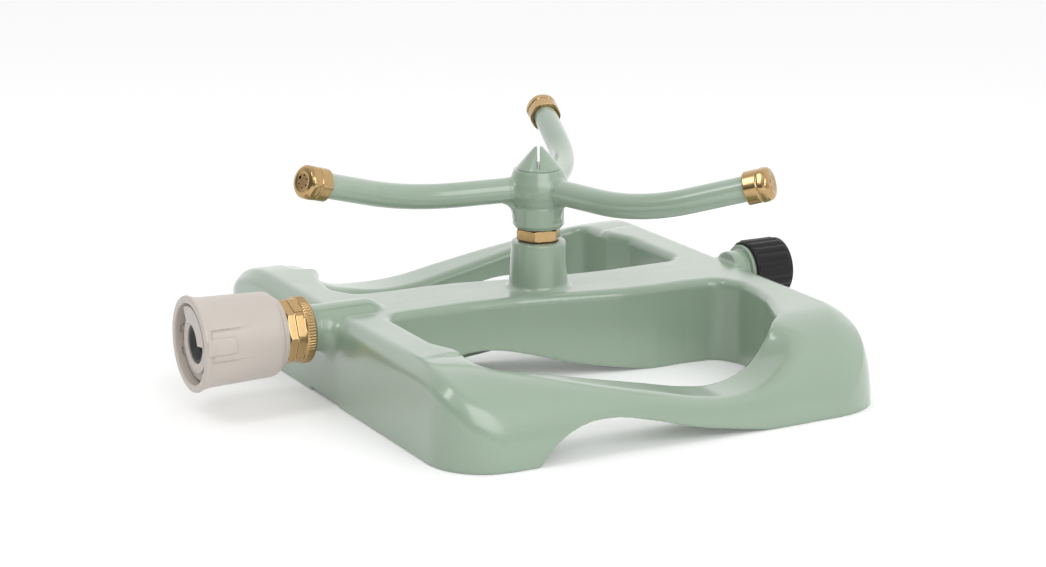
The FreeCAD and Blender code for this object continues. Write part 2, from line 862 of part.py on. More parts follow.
def build_arm(number):
    """Tube of two straight runs joined by one wide tangent arc, all in one tilted plane."""
    start, knee, tip = arm_points(arm_azimuth(number))
    first_run = (knee - start).Length
    second_run = (tip - knee).Length
    bend = (knee - start).getAngle(tip - knee)
    radius = 0.45 * min(first_run, second_run) / math.tan(0.5 * bend)
    trim = radius * math.tan(0.5 * bend)
    label = f"arm_{number}"
    body = new_body(label, frame_at(start, knee - start, tip - knee))

    spine = new_sketch(body, f"{label}_line", "XZ_Plane")
    bend_start = Vector(first_run - trim, 0, 0)
    corner = Vector(first_run, 0, 0)
    heading = Vector(math.cos(bend), math.sin(bend), 0)
    bend_end = corner + heading * trim
    centre = bend_start + Vector(0, radius, 0)
    middle = centre + Vector(math.sin(0.5 * bend), -math.cos(0.5 * bend), 0) * radius
    spine.addGeometry(Part.LineSegment(Vector(), bend_start), False)
    spine.addGeometry(Part.Arc(bend_start, middle, bend_end), False)
    spine.addGeometry(Part.LineSegment(bend_end, corner + heading * second_run), False)
    for kind, *where in (
        ("Coincident", 0, 1, -1, 1),
        ("Horizontal", 0),
        ("Tangent", 0, 2, 1, 1),
        ("Tangent", 1, 2, 2, 1),
        ("Distance", 0, first_run - trim),
        ("Distance", 2, second_run - trim),
        ("Radius", 1, radius),
    ):
        spine.addConstraint(Sketcher.Constraint(kind, *where))

    ring = new_sketch(body, f"{label}_ring", "YZ_Plane")
    circle(ring, "arm_radius")
    circle(ring, "arm_bore")
    pipe = body.newObject("PartDesign::AdditivePipe", f"{label}_pipe")
    pipe.Profile = (ring, [""])
    pipe.Spine = (spine, [""])
    body.Tip = pipe
    document.recompute()
    return finish(body, label)


def build_hub():
    """Turned hub with a skirt, three arm sockets and a curved gusset under each of them."""
    hub = turned(
        "hub_turning",
        [
            ("0", "skirt_foot"),
            ("skirt_lip", "skirt_foot"),
            ("skirt_lip", "skirt_foot + skirt_lip_height"),
            ("skirt_radius", "skirt_foot + skirt_lip_height + 0.4"),
            ("skirt_radius", "skirt_top - 0.5"),
            ("skirt_radius - 0.4", "skirt_top"),
            ("hub_radius", "skirt_top + 0.2"),
            ("hub_radius", "hub_top - 0.4"),
            ("hub_radius - 0.4", "hub_top"),
            ("0", "hub_top"),
        ],
    )
    solids = [hub]
    bores = []
    for number in range(1, ARMS + 1):
        start, knee, tip = arm_points(arm_azimuth(number))
        along = (knee - start).normalize()
        inward = start - along * SIZES["arm_start"]
        root = Placement(inward + Vector(SIZES["rotor_x"], 0, 0), Rotation(Vector(0, 0, 1), along))
        solids.append(cylinder(f"socket_{number}", "socket_radius", "socket_length", root))
        seat = Placement(start + Vector(SIZES["rotor_x"], 0, 0), Rotation(Vector(0, 0, 1), along))
        bores.append(cylinder(f"socket_seat_{number}", "arm_radius + snug", "gusset_reach", seat))
        bores.append(cylinder(f"socket_port_{number}", "arm_bore", "arm_start + 1", root))

        heading = math.degrees(math.atan2(along.y, along.x))
        gusset = new_body(f"gusset_{number}", home(heading))
        sketch = outline(
            new_sketch(gusset, f"gusset_{number}_side", "XZ_Plane", "- 0.5*gusset_width"),
            [
                ("hub_radius - 2", "arm_z - gusset_drop - arm_radius"),
                ("hub_radius - 0.1", "arm_z - gusset_drop - arm_radius", "gusset_radius", "left"),
                ("gusset_reach", "arm_z - arm_radius - 0.4"),
                ("gusset_reach", "arm_z"),
                ("hub_radius - 2", "arm_z"),
            ],
        )
        feature(gusset, "Pad", f"gusset_{number}_pad", sketch, Length="gusset_width")
        solids.append(gusset)
    chamber = turned(
        "hub_chamber",
        [
            ("0", "skirt_foot - 1"),
            ("journal + fit", "skirt_foot - 1"),
            ("journal + fit", "chamber_floor"),
            ("chamber_radius", "chamber_floor"),
            ("chamber_radius", "hub_top + 1"),
            ("0", "hub_top + 1"),
        ],
    )
    finish(cut("rotor_hub", fuse("hub_casting", solids), [chamber, *bores]), "rotor_hub")


def build_cap():
    """Conical plug with a coin slot, and its seal."""
    groove_low = "hub_top - 1.9"
    cap = turned(
        "cap_turning",
        [
            ("0", "hub_top - cap_plug_depth"),
            ("chamber_radius - fit", "hub_top - cap_plug_depth"),
            ("chamber_radius - fit", groove_low),
            ("cap_groove_radius", groove_low),
            ("cap_groove_radius", f"{groove_low} + 1.4"),
            ("chamber_radius - fit", f"{groove_low} + 1.4"),
            ("chamber_radius - fit", "hub_top"),
            ("cap_radius", "hub_top"),
            ("cap_radius", "hub_top + cap_rim"),
            ("cap_tip_radius", "cap_top - 0.9"),
            ("cap_tip_radius - 1.2", "cap_top - 0.15"),
            ("0", "cap_top"),
        ],
    )
    slot = document.addObject("Part::Box", "cap_slot")
    slot.setExpression("Length", "2*Sizes.cap_radius + 4")
    slot.setExpression("Width", "Sizes.slot_width")
    slot.setExpression("Height", "Sizes.slot_depth + 2")
    corner = Vector(size("- cap_radius - 2"), size("- 0.5*slot_width"), size("cap_top - slot_depth"))
    slot.Placement = home(SIZES["arm_azimuth"]) * Placement(corner, Rotation())
    finish(cut("rotor_cap", cap, [slot]), "rotor_cap")

    seal = document.addObject("Part::Torus", "rotor_cap_o_ring")
    seal.setExpression("Radius1", "Sizes.cap_groove_radius + 0.62")
    seal.setExpression("Radius2", "0.6")
    seal.Placement = home()
    seal.Placement.Base.z = size(f"{groove_low} + 0.7")
    finish(seal, "rotor_cap_o_ring")


def build_nozzle(number):
    """Screw cap with flats, spray holes and its flat washer, standing on the arm's tip."""
    start, knee, tip = arm_points(arm_azimuth(number))
    place = frame_at(tip, tip - knee, Vector(0, 0, 1))
    label = f"nozzle_{number}"
    nozzle = turned(
        label,
        [
            ("- nozzle_skirt", "arm_radius + fit"),
            ("- nozzle_skirt", "nozzle_radius - 0.4"),
            ("- nozzle_skirt + 0.4", "nozzle_radius"),
            ("- nozzle_band", "nozzle_radius"),
            ("nozzle_front - 1.6", "nozzle_radius - 0.9"),
            ("nozzle_front - 0.3", "nozzle_nose + 0.6"),
            ("nozzle_front", "nozzle_nose"),
            ("nozzle_front", "0"),
            ("nozzle_front - nozzle_wall", "0"),
            ("nozzle_front - nozzle_wall", "nozzle_chamber"),
            ("nozzle_washer_thickness", "nozzle_chamber"),
            ("nozzle_washer_thickness", "arm_radius + fit"),
        ],
        "H_Axis",
        place,
    )
    flats = new_sketch(nozzle, f"{label}_flats", "YZ_Plane", "- nozzle_band")
    polygon(flats, 6, "nozzle_flats")
    circle(flats, "nozzle_radius + 2")
    pocket(nozzle, f"{label}_flats_cut", flats, Length="nozzle_front + nozzle_band + 1", Reversed=True)
    holes = new_sketch(nozzle, f"{label}_holes", "YZ_Plane")
    circle(holes, "spray_large", "spray_circle", "0")
    circle(holes, "spray_small", "0", "spray_circle")
    circle(holes, "spray_small", "0.7*spray_circle", "0.7*spray_circle")
    circle(holes, "spray_small", "0.7*spray_circle", "- 0.7*spray_circle")
    circle(holes, "spray_small", "0", "- spray_circle")
    pocket(nozzle, f"{label}_spray", holes, Length="nozzle_front + 1", Reversed=True)
    finish(nozzle, label)

    washer = f"nozzle_washer_{number}"
    finish(
        tube(
            washer,
            "nozzle_washer_bore",
            "arm_radius - fit",
            "0",
            "nozzle_washer_thickness",
            "H_Axis",
            place,
        ),
        washer,
    )


# ---- inlet fittings --------------------------------------------------------------------------------

def build_inlet_nut():
    nut = turned(
        "inlet_nut",
        [
            ("- knurl_start", "inlet_nut_bore"),
            ("- knurl_start", "knurl_radius - 0.5"),
            ("- knurl_start - 0.5", "knurl_radius"),
            ("- knurl_start - knurl_length", "knurl_radius"),
            ("- knurl_start - knurl_length - 0.6", "knurl_radius - 0.8"),
            ("- inlet_nut_end + 0.8", "knurl_radius - 0.8"),
            ("- inlet_nut_end", "knurl_radius - 1.8"),
            ("- inlet_nut_end", "inlet_lip"),
            ("- inlet_nut_end + inlet_lip_thickness", "inlet_lip"),
            ("- inlet_nut_end + inlet_lip_thickness", "inlet_nut_bore"),
        ],
        "H_Axis",
        along_pipe(),
    )
    flats = new_sketch(nut, "inlet_nut_flats", "YZ_Plane", "- knurl_start - knurl_length - 0.6")
    polygon(flats, 8, "octagon_flats")
    circle(flats, "knurl_radius + 2")
    pocket(nut, "inlet_nut_flats_cut", flats, Length="inlet_nut_end - knurl_start - knurl_length")
    notch = new_sketch(nut, "knurl_notch", "YZ_Plane", "- knurl_start + 0.1")
    outline(
        notch,
        [
            ("knurl_radius - knurl_depth", "0"),
            ("knurl_radius + knurl_depth", "- knurl_depth"),
            ("knurl_radius + knurl_depth", "knurl_depth"),
        ],
    )
    groove = pocket(nut, "knurl_notch_cut", notch, Length="knurl_length + 0.2")
    polar(nut, "knurl", groove, "X_Axis", KNURLS)
    finish(nut, "inlet_nut")

    washer_end = "- inlet_end - inlet_washer_thickness"
    finish(
        tube(
            "inlet_washer",
            "inlet_washer_bore",
            "coupler_flange",
            washer_end,
            "- inlet_end",
            "H_Axis",
            along_pipe(),
        ),
        "inlet_washer",
    )
    seat = "- inlet_end + filter_seat_depth - snug"
    strainer = turned(
        "inlet_filter",
        [
            ("- inlet_end + snug", "filter_cup - filter_wall"),
            ("- inlet_end + snug", "filter_seat - fit"),
            (seat, "filter_seat - fit"),
            (seat, "filter_cup"),
            ("- inlet_end + filter_depth", "filter_cup - 0.6"),
            ("- inlet_end + filter_depth", "0"),
            ("- inlet_end + filter_depth - filter_wall", "0"),
            ("- inlet_end + filter_depth - filter_wall", "filter_cup - filter_wall - 0.6"),
        ],
        "H_Axis",
        along_pipe(),
    )
    holes = new_sketch(strainer, "filter_holes", "YZ_Plane", "- inlet_end + filter_depth - 2")
    for ring, count in (("0.28*filter_cup", 4), ("0.62*filter_cup", 9)):
        for step in range(count):
            angle = 2 * math.pi * step / count
            circle(
                holes, "0.1*filter_cup", f"{math.cos(angle):.4f}*{ring}", f"{math.sin(angle):.4f}*{ring}"
            )
    pocket(strainer, "filter_holes_cut", holes, Length="4", Reversed=True)
    finish(strainer, "inlet_filter")


def build_coupler():
    flange_start = "- inlet_end - inlet_washer_thickness"
    groove = "- collar_counterbore - spring_ring_thickness - 0.1"
    core = turned(
        "coupler_turning",
        [
            (flange_start, "coupler_bore"),
            (flange_start, "coupler_flange"),
            (f"{flange_start} - coupler_flange_thickness + fit", "coupler_flange"),
            (f"{flange_start} - coupler_flange_thickness + fit", "coupler_tail"),
            ("- coupler_step_start", "coupler_tail"),
            ("- coupler_step_start", "coupler_step_radius"),
            ("- coupler_ring_start", "coupler_step_radius"),
            ("- coupler_ring_start", "coupler_ring_radius"),
            ("- collar_start + fit", "coupler_ring_radius"),
            ("- collar_start + fit", "barrel"),
            ("- collar_counterbore + fit", "barrel"),
            ("- collar_counterbore + fit", "spring_groove_radius"),
            (groove, "spring_groove_radius"),
            (groove, "barrel"),
            ("- coupler_face", "barrel"),
            ("- coupler_face", "seal_seat_radius"),
            ("- seal_seat", "seal_seat_radius"),
            ("- seal_seat", "coupler_bore"),
        ],
        "H_Axis",
        along_pipe(),
    )
    claws = new_sketch(core, "claw_outline", "YZ_Plane", "- coupler_face + 0.5")
    first = math.radians(SIZES["claw_start"])
    last = first + math.radians(SIZES["claw_sweep"])
    corners = []
    ends = (("claw_inner", first), ("claw_outer", first), ("claw_outer", last), ("claw_inner", last))
    for radius, angle in ends:
        corners.append((f"{math.cos(angle):.5f}*{radius}", f"{math.sin(angle):.5f}*{radius}"))
    corners[1] = (*corners[1], "claw_outer")
    corners[3] = (*corners[3], "claw_inner", "left")
    outline(claws, corners)
    claw = feature(
        core, "Pad", "claw", claws, Length="claw_front - coupler_face + 0.5", Reversed=True
    )
    polar(core, "claws", claw, "X_Axis", 2)
    finish(core, "coupler_body")

    finish(
        tube(
            "coupler_seal",
            "coupler_bore + 0.3",
            "seal_seat_radius - fit",
            "- seal_front",
            "- seal_seat",
            "H_Axis",
            along_pipe(),
        ),
        "coupler_seal",
    )

    collar = turned(
        "coupler_collar",
        [
            ("- collar_start", "barrel + fit"),
            ("- collar_start", "collar_rear_radius - collar_round", "collar_round"),
            ("- collar_start - collar_round", "collar_rear_radius"),
            ("- collar_waist", "collar_waist_radius"),
            ("- collar_lip_start", "collar_waist_radius + 0.4", "collar_flare_radius", "left"),
            ("- collar_front + 1", "collar_lip_radius"),
            ("- collar_front", "collar_lip_radius - 0.9"),
            ("- collar_front", "collar_mouth"),
            ("- collar_counterbore", "collar_mouth"),
            ("- collar_counterbore", "barrel + fit"),
        ],
        "H_Axis",
        along_pipe(),
    )
    tab = new_sketch(collar, "collar_tab", "XZ_Plane", "collar_mouth + 0.2")
    outline(
        tab,
        [
            ("- collar_front + 0.6", "- 0.5*tab_width"),
            ("- collar_front + 0.6 + tab_length", "- 0.5*tab_width"),
            ("- collar_front + 0.6 + tab_length", "0.5*tab_width"),
            ("- collar_front + 0.6", "0.5*tab_width"),
        ],
    )
    raised = feature(collar, "Pad", "tab", tab, Length="tab_height - collar_mouth - 0.2")
    polar(collar, "tabs", raised, "X_Axis", 2)
    finish(collar, "coupler_collar")

    ring = tube(
        "spring_ring_blank",
        "spring_groove_radius + fit",
        "spring_ring_radius",
        "- collar_counterbore - spring_ring_thickness",
        "- collar_counterbore - 0.02",
        "H_Axis",
        along_pipe(),
    )
    opening = new_sketch(ring, "spring_ring_opening", "XY_Plane")
    outline(
        opening,
        [
            ("- collar_counterbore - 5", "- 0.5*spring_ring_gap"),
            ("- collar_counterbore + 5", "- 0.5*spring_ring_gap"),
            ("- collar_counterbore + 5", "0.5*spring_ring_gap"),
            ("- collar_counterbore - 5", "0.5*spring_ring_gap"),
        ],
    )
    pocket(ring, "spring_ring_slit", opening, Length="spring_ring_radius + 2", Reversed=True)
    finish(ring, "coupler_retaining_ring")


# ---- outlet cap ------------------------------------------------------------------------------------

def build_outlet_cap():
    cap = turned(
        "outlet_cap",
        [
            ("cap_start", "cap_bore"),
            ("cap_start", "cap_outer"),
            ("cap_end - 0.8", "cap_outer"),
            ("cap_end", "cap_outer - 0.8"),
            ("cap_end", "0"),
            ("cap_floor", "0"),
            ("cap_floor", "cap_bore"),
        ],
        "H_Axis",
        along_pipe(),
    )
    rib = new_sketch(cap, "rib_outline", "YZ_Plane", "cap_start + 0.6")
    outline(
        rib,
        [
            ("cap_outer - 0.5", "- 0.5*rib_width"),
            ("cap_rib_radius", "- 0.32*rib_width"),
            ("cap_rib_radius", "0.32*rib_width"),
            ("cap_outer - 0.5", "0.5*rib_width"),
        ],
    )
    grip = feature(cap, "Pad", "rib", rib, Length="cap_end - cap_start - 1.6")
    polar(cap, "ribs", grip, "X_Axis", RIBS)
    finish(cap, "outlet_cap")
    finish(
        tube(
            "outlet_cap_washer",
            "cap_washer_bore",
            "cap_bore - fit",
            "cap_floor - cap_washer_thickness",
            "cap_floor",
            "H_Axis",
            along_pipe(),
        ),
        "outlet_cap_washer",
    )


build_spindle()
build_hub()
build_cap()
for arm_number in range(1, ARMS + 1):
    build_arm(arm_number)
    build_nozzle(arm_number)
build_inlet_nut()
build_coupler()
build_outlet_cap()


# ---- checks and files ------------------------------------------------------------------------------

document.recompute()
for thing in document.Objects:
    assert not {"Invalid", "Error"} & set(thing.State), f"{thing.Name}: {thing.State}"

os.makedirs("parts", exist_ok=True)
for part in finished:
    assert not part.Shape.isNull() and part.Shape.isValid(), f"{part.Label} has no valid shape"
    part.Shape.exportStep(f"parts/{part.Label}.step")
    print(part.Label, len(part.Shape.Solids), part.Shape.BoundBox)
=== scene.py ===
import json
import math

import bpy
import numpy as np
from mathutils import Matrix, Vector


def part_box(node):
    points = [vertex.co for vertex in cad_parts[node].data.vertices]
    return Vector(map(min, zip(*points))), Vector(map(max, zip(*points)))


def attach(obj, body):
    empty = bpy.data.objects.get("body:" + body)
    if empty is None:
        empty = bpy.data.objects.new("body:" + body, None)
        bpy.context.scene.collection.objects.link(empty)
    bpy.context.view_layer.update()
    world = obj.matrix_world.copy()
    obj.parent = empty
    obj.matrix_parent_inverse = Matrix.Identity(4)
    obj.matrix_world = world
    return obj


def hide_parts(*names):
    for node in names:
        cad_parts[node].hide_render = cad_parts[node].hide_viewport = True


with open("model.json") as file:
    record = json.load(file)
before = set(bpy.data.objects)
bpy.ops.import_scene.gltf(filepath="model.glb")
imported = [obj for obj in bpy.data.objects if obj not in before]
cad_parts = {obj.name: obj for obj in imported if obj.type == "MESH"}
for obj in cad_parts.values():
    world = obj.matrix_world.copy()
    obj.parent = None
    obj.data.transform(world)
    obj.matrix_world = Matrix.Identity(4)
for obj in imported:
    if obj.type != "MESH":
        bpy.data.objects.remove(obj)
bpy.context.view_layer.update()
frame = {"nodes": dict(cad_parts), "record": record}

import openvdb
from mathutils import Matrix, Vector

# A three-arm rotary lawn sprinkler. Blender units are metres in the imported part's own frame. Shapes are
# worked out in millimetres about the rotor's axis ("rotor millimetres"): its x, y are zero on the axis
# and its z is zero on the ground. What shows most is meshed from distance fields, because the real
# castings, turnings and mouldings have soft edges and blends everywhere.

MM = 0.001


def middle(node):
    low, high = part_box(node)
    return (low + high) / 2


AXIS_X = middle("riser_spindle").x
PIPE_Z = middle("outlet_cap").z / MM


def row(x, y, z):
    """Rotor millimetres to the row frame."""
    return Vector((AXIS_X + x * MM, y * MM, z * MM))


# ---- materials -------------------------------------------------------------------------------------

class Shader:
    """Small builder for one Principled material; everything is placed by object coordinates."""

    def __init__(self, name, **inputs):
        self.material = bpy.data.materials.new(name)
        self.material.use_nodes = True
        self.tree = self.material.node_tree
        self.surface = self.tree.nodes["Principled BSDF"]
        for label, value in inputs.items():
            self.surface.inputs[label.replace("_", " ")].default_value = value
        self.place = self.tree.nodes.new("ShaderNodeTexCoord").outputs["Object"]

    def add(self, kind, **values):
        node = self.tree.nodes.new("ShaderNode" + kind)
        for label, value in values.items():
            if label.startswith("in_"):
                node.inputs[label[3:].replace("_", " ")].default_value = value
            else:
                setattr(node, label, value)
        return node

    def link(self, output, target):
        self.tree.links.new(output, target)

    def noise(self, per_mm, detail):
        """Noise with features of about 1/per_mm millimetres."""
        node = self.add("TexNoise", in_Scale=per_mm / MM, in_Detail=detail)
        self.link(self.place, node.inputs["Vector"])
        return node.outputs["Fac"]

    def edges(self, low, high):
        """1 on convex edges and 0 on flat faces, used to paint highlights onto edges."""
        return self.span(self.add("NewGeometry").outputs["Pointiness"], 0.0, 1.0, low, high)

    def span(self, value, low, high, from_low=0.3, from_high=0.7):
        """Rescales a value; the middle part of a noise covers the whole span."""
        node = self.add(
            "MapRange", in_From_Min=from_low, in_From_Max=from_high, in_To_Min=low, in_To_Max=high
        )
        self.link(value, node.inputs["Value"])
        return node.outputs["Result"]

    def mixed(self, value, low, high):
        """A colour between two, each a plain colour or another node's output."""
        node = self.add("Mix", data_type="RGBA")
        factor, first, second, result = node.inputs[0], node.inputs[6], node.inputs[7], node.outputs[2]
        for socket, colour in ((first, low), (second, high)):
            if isinstance(colour, tuple):
                socket.default_value = (*colour, 1)
            else:
                self.link(colour, socket)
        self.link(value, factor)
        return result

    def colours(self, value, low, high):
        """Base colour between two colours."""
        self.link(self.mixed(value, low, high), self.surface.inputs["Base Color"])

    def roughness(self, value, low, high):
        self.link(self.span(value, low, high), self.surface.inputs["Roughness"])

    def bump(self, value, height_mm):
        node = self.add("Bump", in_Strength=1.0, in_Distance=height_mm * MM)
        self.link(value, node.inputs["Height"])
        self.link(node.outputs["Normal"], self.surface.inputs["Normal"])


def make_paint():
    """Sage enamel sprayed on a casting: even colour, faint orange peel, and a painted highlight: lighter
    green on convex edges.
    """
    paint = Shader("sage_enamel", Roughness=0.3, Coat_Weight=1.0, Coat_Roughness=0.16)
    even = paint.mixed(paint.noise(0.02, 1.0), (0.246, 0.325, 0.244), (0.258, 0.340, 0.256))
    # painted highlight: convex edges are mixed towards a lighter green
    paint.colours(paint.edges(0.52, 0.62), even, (0.30, 0.38, 0.30))
    paint.roughness(paint.noise(0.06, 1.0), 0.30, 0.36)
    paint.bump(paint.noise(0.12, 1.0), 0.02)
    return paint.material


def make_brass():
    """Turned brass with a painted highlight, a brighter colour on its edges, and a faintly uneven
    surface.
    """
    brass = Shader("turned_brass", Metallic=1.0, Roughness=0.2)
    base_brass = brass.mixed(brass.noise(0.12, 3.0), (0.45, 0.30, 0.14), (0.52, 0.35, 0.17))
    # painted highlight: edges are mixed towards a brighter brass
    brass.colours(brass.edges(0.50, 0.60), base_brass, (0.62, 0.43, 0.22))
    brass.roughness(brass.noise(0.5, 3.0), 0.14, 0.24)
    brass.bump(brass.noise(1.6, 2.0), 0.0015)
    return brass.material


def make_beige():
    beige = Shader("beige_moulding", Roughness=0.38)
    beige.colours(beige.noise(0.05, 2.0), (0.50, 0.445, 0.405), (0.53, 0.475, 0.43))
    beige.roughness(beige.noise(0.3, 3.0), 0.32, 0.42)
    beige.bump(beige.noise(0.8, 1.0), 0.006)
    return beige.material


def make_black():
    black = Shader("black_moulding", Roughness=0.38, Specular_IOR_Level=0.3)
    black.colours(black.noise(0.2, 3.0), (0.006, 0.006, 0.006), (0.011, 0.011, 0.011))
    black.roughness(black.noise(0.6, 3.0), 0.32, 0.46)
    black.bump(black.noise(3.0, 3.0), 0.008)
    return black.material


def make_rubber():
    rubber = Shader("seal_rubber", Roughness=0.6)
    rubber.colours(rubber.noise(0.5, 3.0), (0.028, 0.028, 0.03), (0.05, 0.05, 0.052))
    rubber.roughness(rubber.noise(0.8, 3.0), 0.5, 0.7)
    rubber.bump(rubber.noise(2.5, 3.0), 0.015)
    return rubber.material


def make_white():
    white = Shader("bearing_plastic", Roughness=0.4)
    white.colours(white.noise(0.4, 3.0), (0.72, 0.71, 0.67), (0.78, 0.77, 0.73))
    white.roughness(white.noise(0.8, 3.0), 0.35, 0.48)
    white.bump(white.noise(3.0, 2.0), 0.006)
    return white.material


def make_fibre():
    fibre = Shader("vulcanised_fibre", Roughness=0.7)
    fibre.colours(fibre.noise(0.9, 4.0), (0.045, 0.022, 0.016), (0.075, 0.034, 0.024))
    fibre.roughness(fibre.noise(0.9, 3.0), 0.6, 0.8)
    fibre.bump(fibre.noise(2.5, 4.0), 0.02)
    return fibre.material


def make_steel():
    steel = Shader("spring_steel", Metallic=1.0, Roughness=0.3)
    steel.colours(steel.noise(0.6, 3.0), (0.52, 0.52, 0.53), (0.62, 0.62, 0.63))
    steel.roughness(steel.noise(1.5, 3.0), 0.25, 0.4)
    steel.bump(steel.noise(2.0, 3.0), 0.006)
    return steel.material


FINISHES = {
    "painted_casting": make_paint(),
    "brass": make_brass(),
    "beige_plastic": make_beige(),
    "black_plastic": make_black(),
    "rubber": make_rubber(),
    "white_plastic": make_white(),
    "fibre": make_fibre(),
    "steel": make_steel(),
}

slot_of = {part["node"]: part["material_slot"] for part in frame["record"]["subparts"]}
body_of = {}
for body, nodes in frame["record"]["behaviour"]["bodies"].items():
    body_of.update(dict.fromkeys(nodes, body))
for name, node in frame["nodes"].items():
    node.data.materials.clear()
    node.data.materials.append(FINISHES[slot_of[name]])


# ---- distance fields -------------------------------------------------------------------------------

def grid(low, high, step):
    """Open grid of sample places, as three arrays that broadcast together."""
    axes = [np.arange(a, b + step, step, dtype=np.float32) for a, b in zip(low, high)]
    return np.meshgrid(*axes, indexing="ij", sparse=True)


def join(a, b, radius=0.0):
    """Union, with a fillet of that radius where the two meet at a right angle."""
    if isinstance(radius, float) and radius == 0:
        return np.minimum(a, b)
    inner = np.hypot(np.minimum(a - radius, 0), np.minimum(b - radius, 0))
    return np.maximum(np.minimum(a, b), radius) - inner


def common(a, b, radius=0.0):
    """Intersection, with its edges rounded to that radius, which may vary from place to place."""
    if isinstance(radius, float) and radius == 0:
        return np.maximum(a, b)
    outer = np.hypot(np.maximum(a + radius, 0), np.maximum(b + radius, 0))
    return np.minimum(np.maximum(a, b), -radius) + outer


def less(a, b, radius=0.0):
    """The first shape with the second cut out of it."""
    return common(a, -b, radius)


def between(value, low, high):
    """Slab: negative where the value lies between two limits."""
    return np.abs(value - (low + high) / 2) - (high - low) / 2


def rounded_box(x, y, half_x, half_y, radius):
    """Rounded rectangle in two coordinates."""
    across = np.abs(x) - half_x + radius
    along = np.abs(y) - half_y + radius
    outside = np.hypot(np.maximum(across, 0), np.maximum(along, 0))
    return outside + np.minimum(np.maximum(across, along), 0) - radius


def smooth_step(value, low, high):
    """0 below one limit and 1 above the other, with a soft rise between."""
    t = np.clip((value - low) / (high - low), 0, 1)
    return t * t * (3 - 2 * t)


def polygon(x, y, corners):
    """Signed distance to a closed outline of straight sides."""
    nearest = None
    inside = None
    for (ax, ay), (bx, by) in zip(corners, corners[1:] + corners[:1]):
        ex, ey = bx - ax, by - ay
        wx, wy = x - ax, y - ay
        along = np.clip((wx * ex + wy * ey) / max(ex * ex + ey * ey, 1e-9), 0, 1)
        gap = (wx - ex * along) ** 2 + (wy - ey * along) ** 2
        crossing = ((ay > y) != (by > y)) & (wx < ex * wy / (ey if ey else 1e-9))
        nearest = gap if nearest is None else np.minimum(nearest, gap)
        inside = crossing if inside is None else inside ^ crossing
    return np.where(inside, -1, 1) * np.sqrt(nearest)


def inset(corners, amount):
    """The outline with every side moved inwards."""
    before = corners[-1:] + corners[:-1]
    after = corners[1:] + corners[:1]
    turn = sum(ax * by - bx * ay for (ax, ay), (bx, by) in zip(corners, after))
    side = math.copysign(1, turn)
    moved = []
    for a, b, c in zip(before, corners, after):
        arriving = Vector((b[0] - a[0], b[1] - a[1])).normalized()
        leaving = Vector((c[0] - b[0], c[1] - b[1])).normalized()
        one = Vector((-arriving.y, arriving.x)) * side
        two = Vector((-leaving.y, leaving.x)) * side
        mitre = (one + two) / (1 + one.dot(two))
        moved.append((b[0] + amount * mitre.x, b[1] + amount * mitre.y))
    return moved


def turned(along, radius, corners, rounding=0.2):
    """Body of revolution about the first grid axis, from its outline in (along, radius)."""
    reach = np.arange(0, float(radius.max()) + 1, 0.05)
    table = polygon(along.reshape(-1, 1), reach, inset(corners, rounding)) - rounding
    return np.array([np.interp(radius[0], reach, line) for line in table], dtype=np.float32)


def prism(y, z, sides, flats, turn=0.0):
    """Regular prism about the first grid axis; turn is the direction of one flat, in degrees."""
    field = None
    for number in range(sides):
        angle = math.radians(turn + 360 * number / sides)
        face = y * math.cos(angle) + z * math.sin(angle) - flats / 2
        field = face if field is None else np.maximum(field, face)
    return field


# Frames that carry a piece's own axes (the first is the one it is turned about) to rotor millimetres.
UPRIGHT = Matrix(((0, 1, 0, 0), (0, 0, 1, 0), (1, 0, 0, 0), (0, 0, 0, 1)))
ALONG_PIPE = Matrix.Translation((0, 0, PIPE_Z))


def mesh_field(name, low, step, values, place=Matrix()):
    """Smooth mesh of the field's zero level, in the row frame."""
    values = np.clip(values, -3 * step, 3 * step)
    vdb = openvdb.FloatGrid(3 * step)
    vdb.copyFromArray(np.ascontiguousarray(values, dtype=np.float32))
    points, quads = vdb.convertToQuads(isovalue=0.0)
    turn = np.array(place)
    points = (points * step + np.array(low)) @ turn[:3, :3].T + turn[:3, 3]
    points = points * MM + np.array([AXIS_X, 0, 0])
    mesh = bpy.data.meshes.new(name)
    mesh.vertices.add(len(points))
    mesh.vertices.foreach_set("co", points.astype(np.float32).ravel())
    mesh.loops.add(len(quads) * 4)
    mesh.loops.foreach_set("vertex_index", quads[:, ::-1].astype(np.int32).ravel())
    mesh.polygons.add(len(quads))
    mesh.polygons.foreach_set("loop_start", np.arange(0, len(quads) * 4, 4, dtype=np.int32))
    mesh.update()
    mesh.validate()
    mesh.shade_smooth()
    piece = bpy.data.objects.new(name, mesh)
    bpy.context.scene.collection.objects.link(piece)
    return piece


def settle(piece, node):
    """Gives a finished piece the finish and the body of the CAD node that it stands for."""
    piece.data.materials.append(FINISHES[slot_of[node]])
    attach(piece, body_of[node])
    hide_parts(node)


# ---- cast base -------------------------------------------------------------------------------------

PLATE_TOP = 40.8
BASE_HALF_X, BASE_HALF_Y, PLAN_RADIUS = 112.1, 137.2, 28.0
SIDE_DRAFT = math.tan(math.radians(2.4))
END_START = 93.0
RIDGE = 7.4
WALL = 3.0
DIP_INNER = 88.0
DUCT_Z, DUCT_HALF_WIDTH, DUCT_HALF_HEIGHT, DUCT_HALF_LENGTH = 34.0, 8.0, 5.5, 90.0
WATER_BORE, RISER_BORE = 4.8, 7.0
SPINE_RADIUS, SPINE_NOSE_X, INLET_NECK_X = 10.8, -91.5, -118.6
OUTLET_NECK_RADIUS, OUTLET_NECK_X = 10.5, 113.2
BOSS_RADIUS, BOSS_DRAFT, BOSS_FOOT, BOSS_TOP = 14.2, 0.0573, 27.8, 63.5
ARCH_INNER = 12.0
STRIP_HALF_WIDTH, STRIP_CLEARANCE = 16.0, 1.4

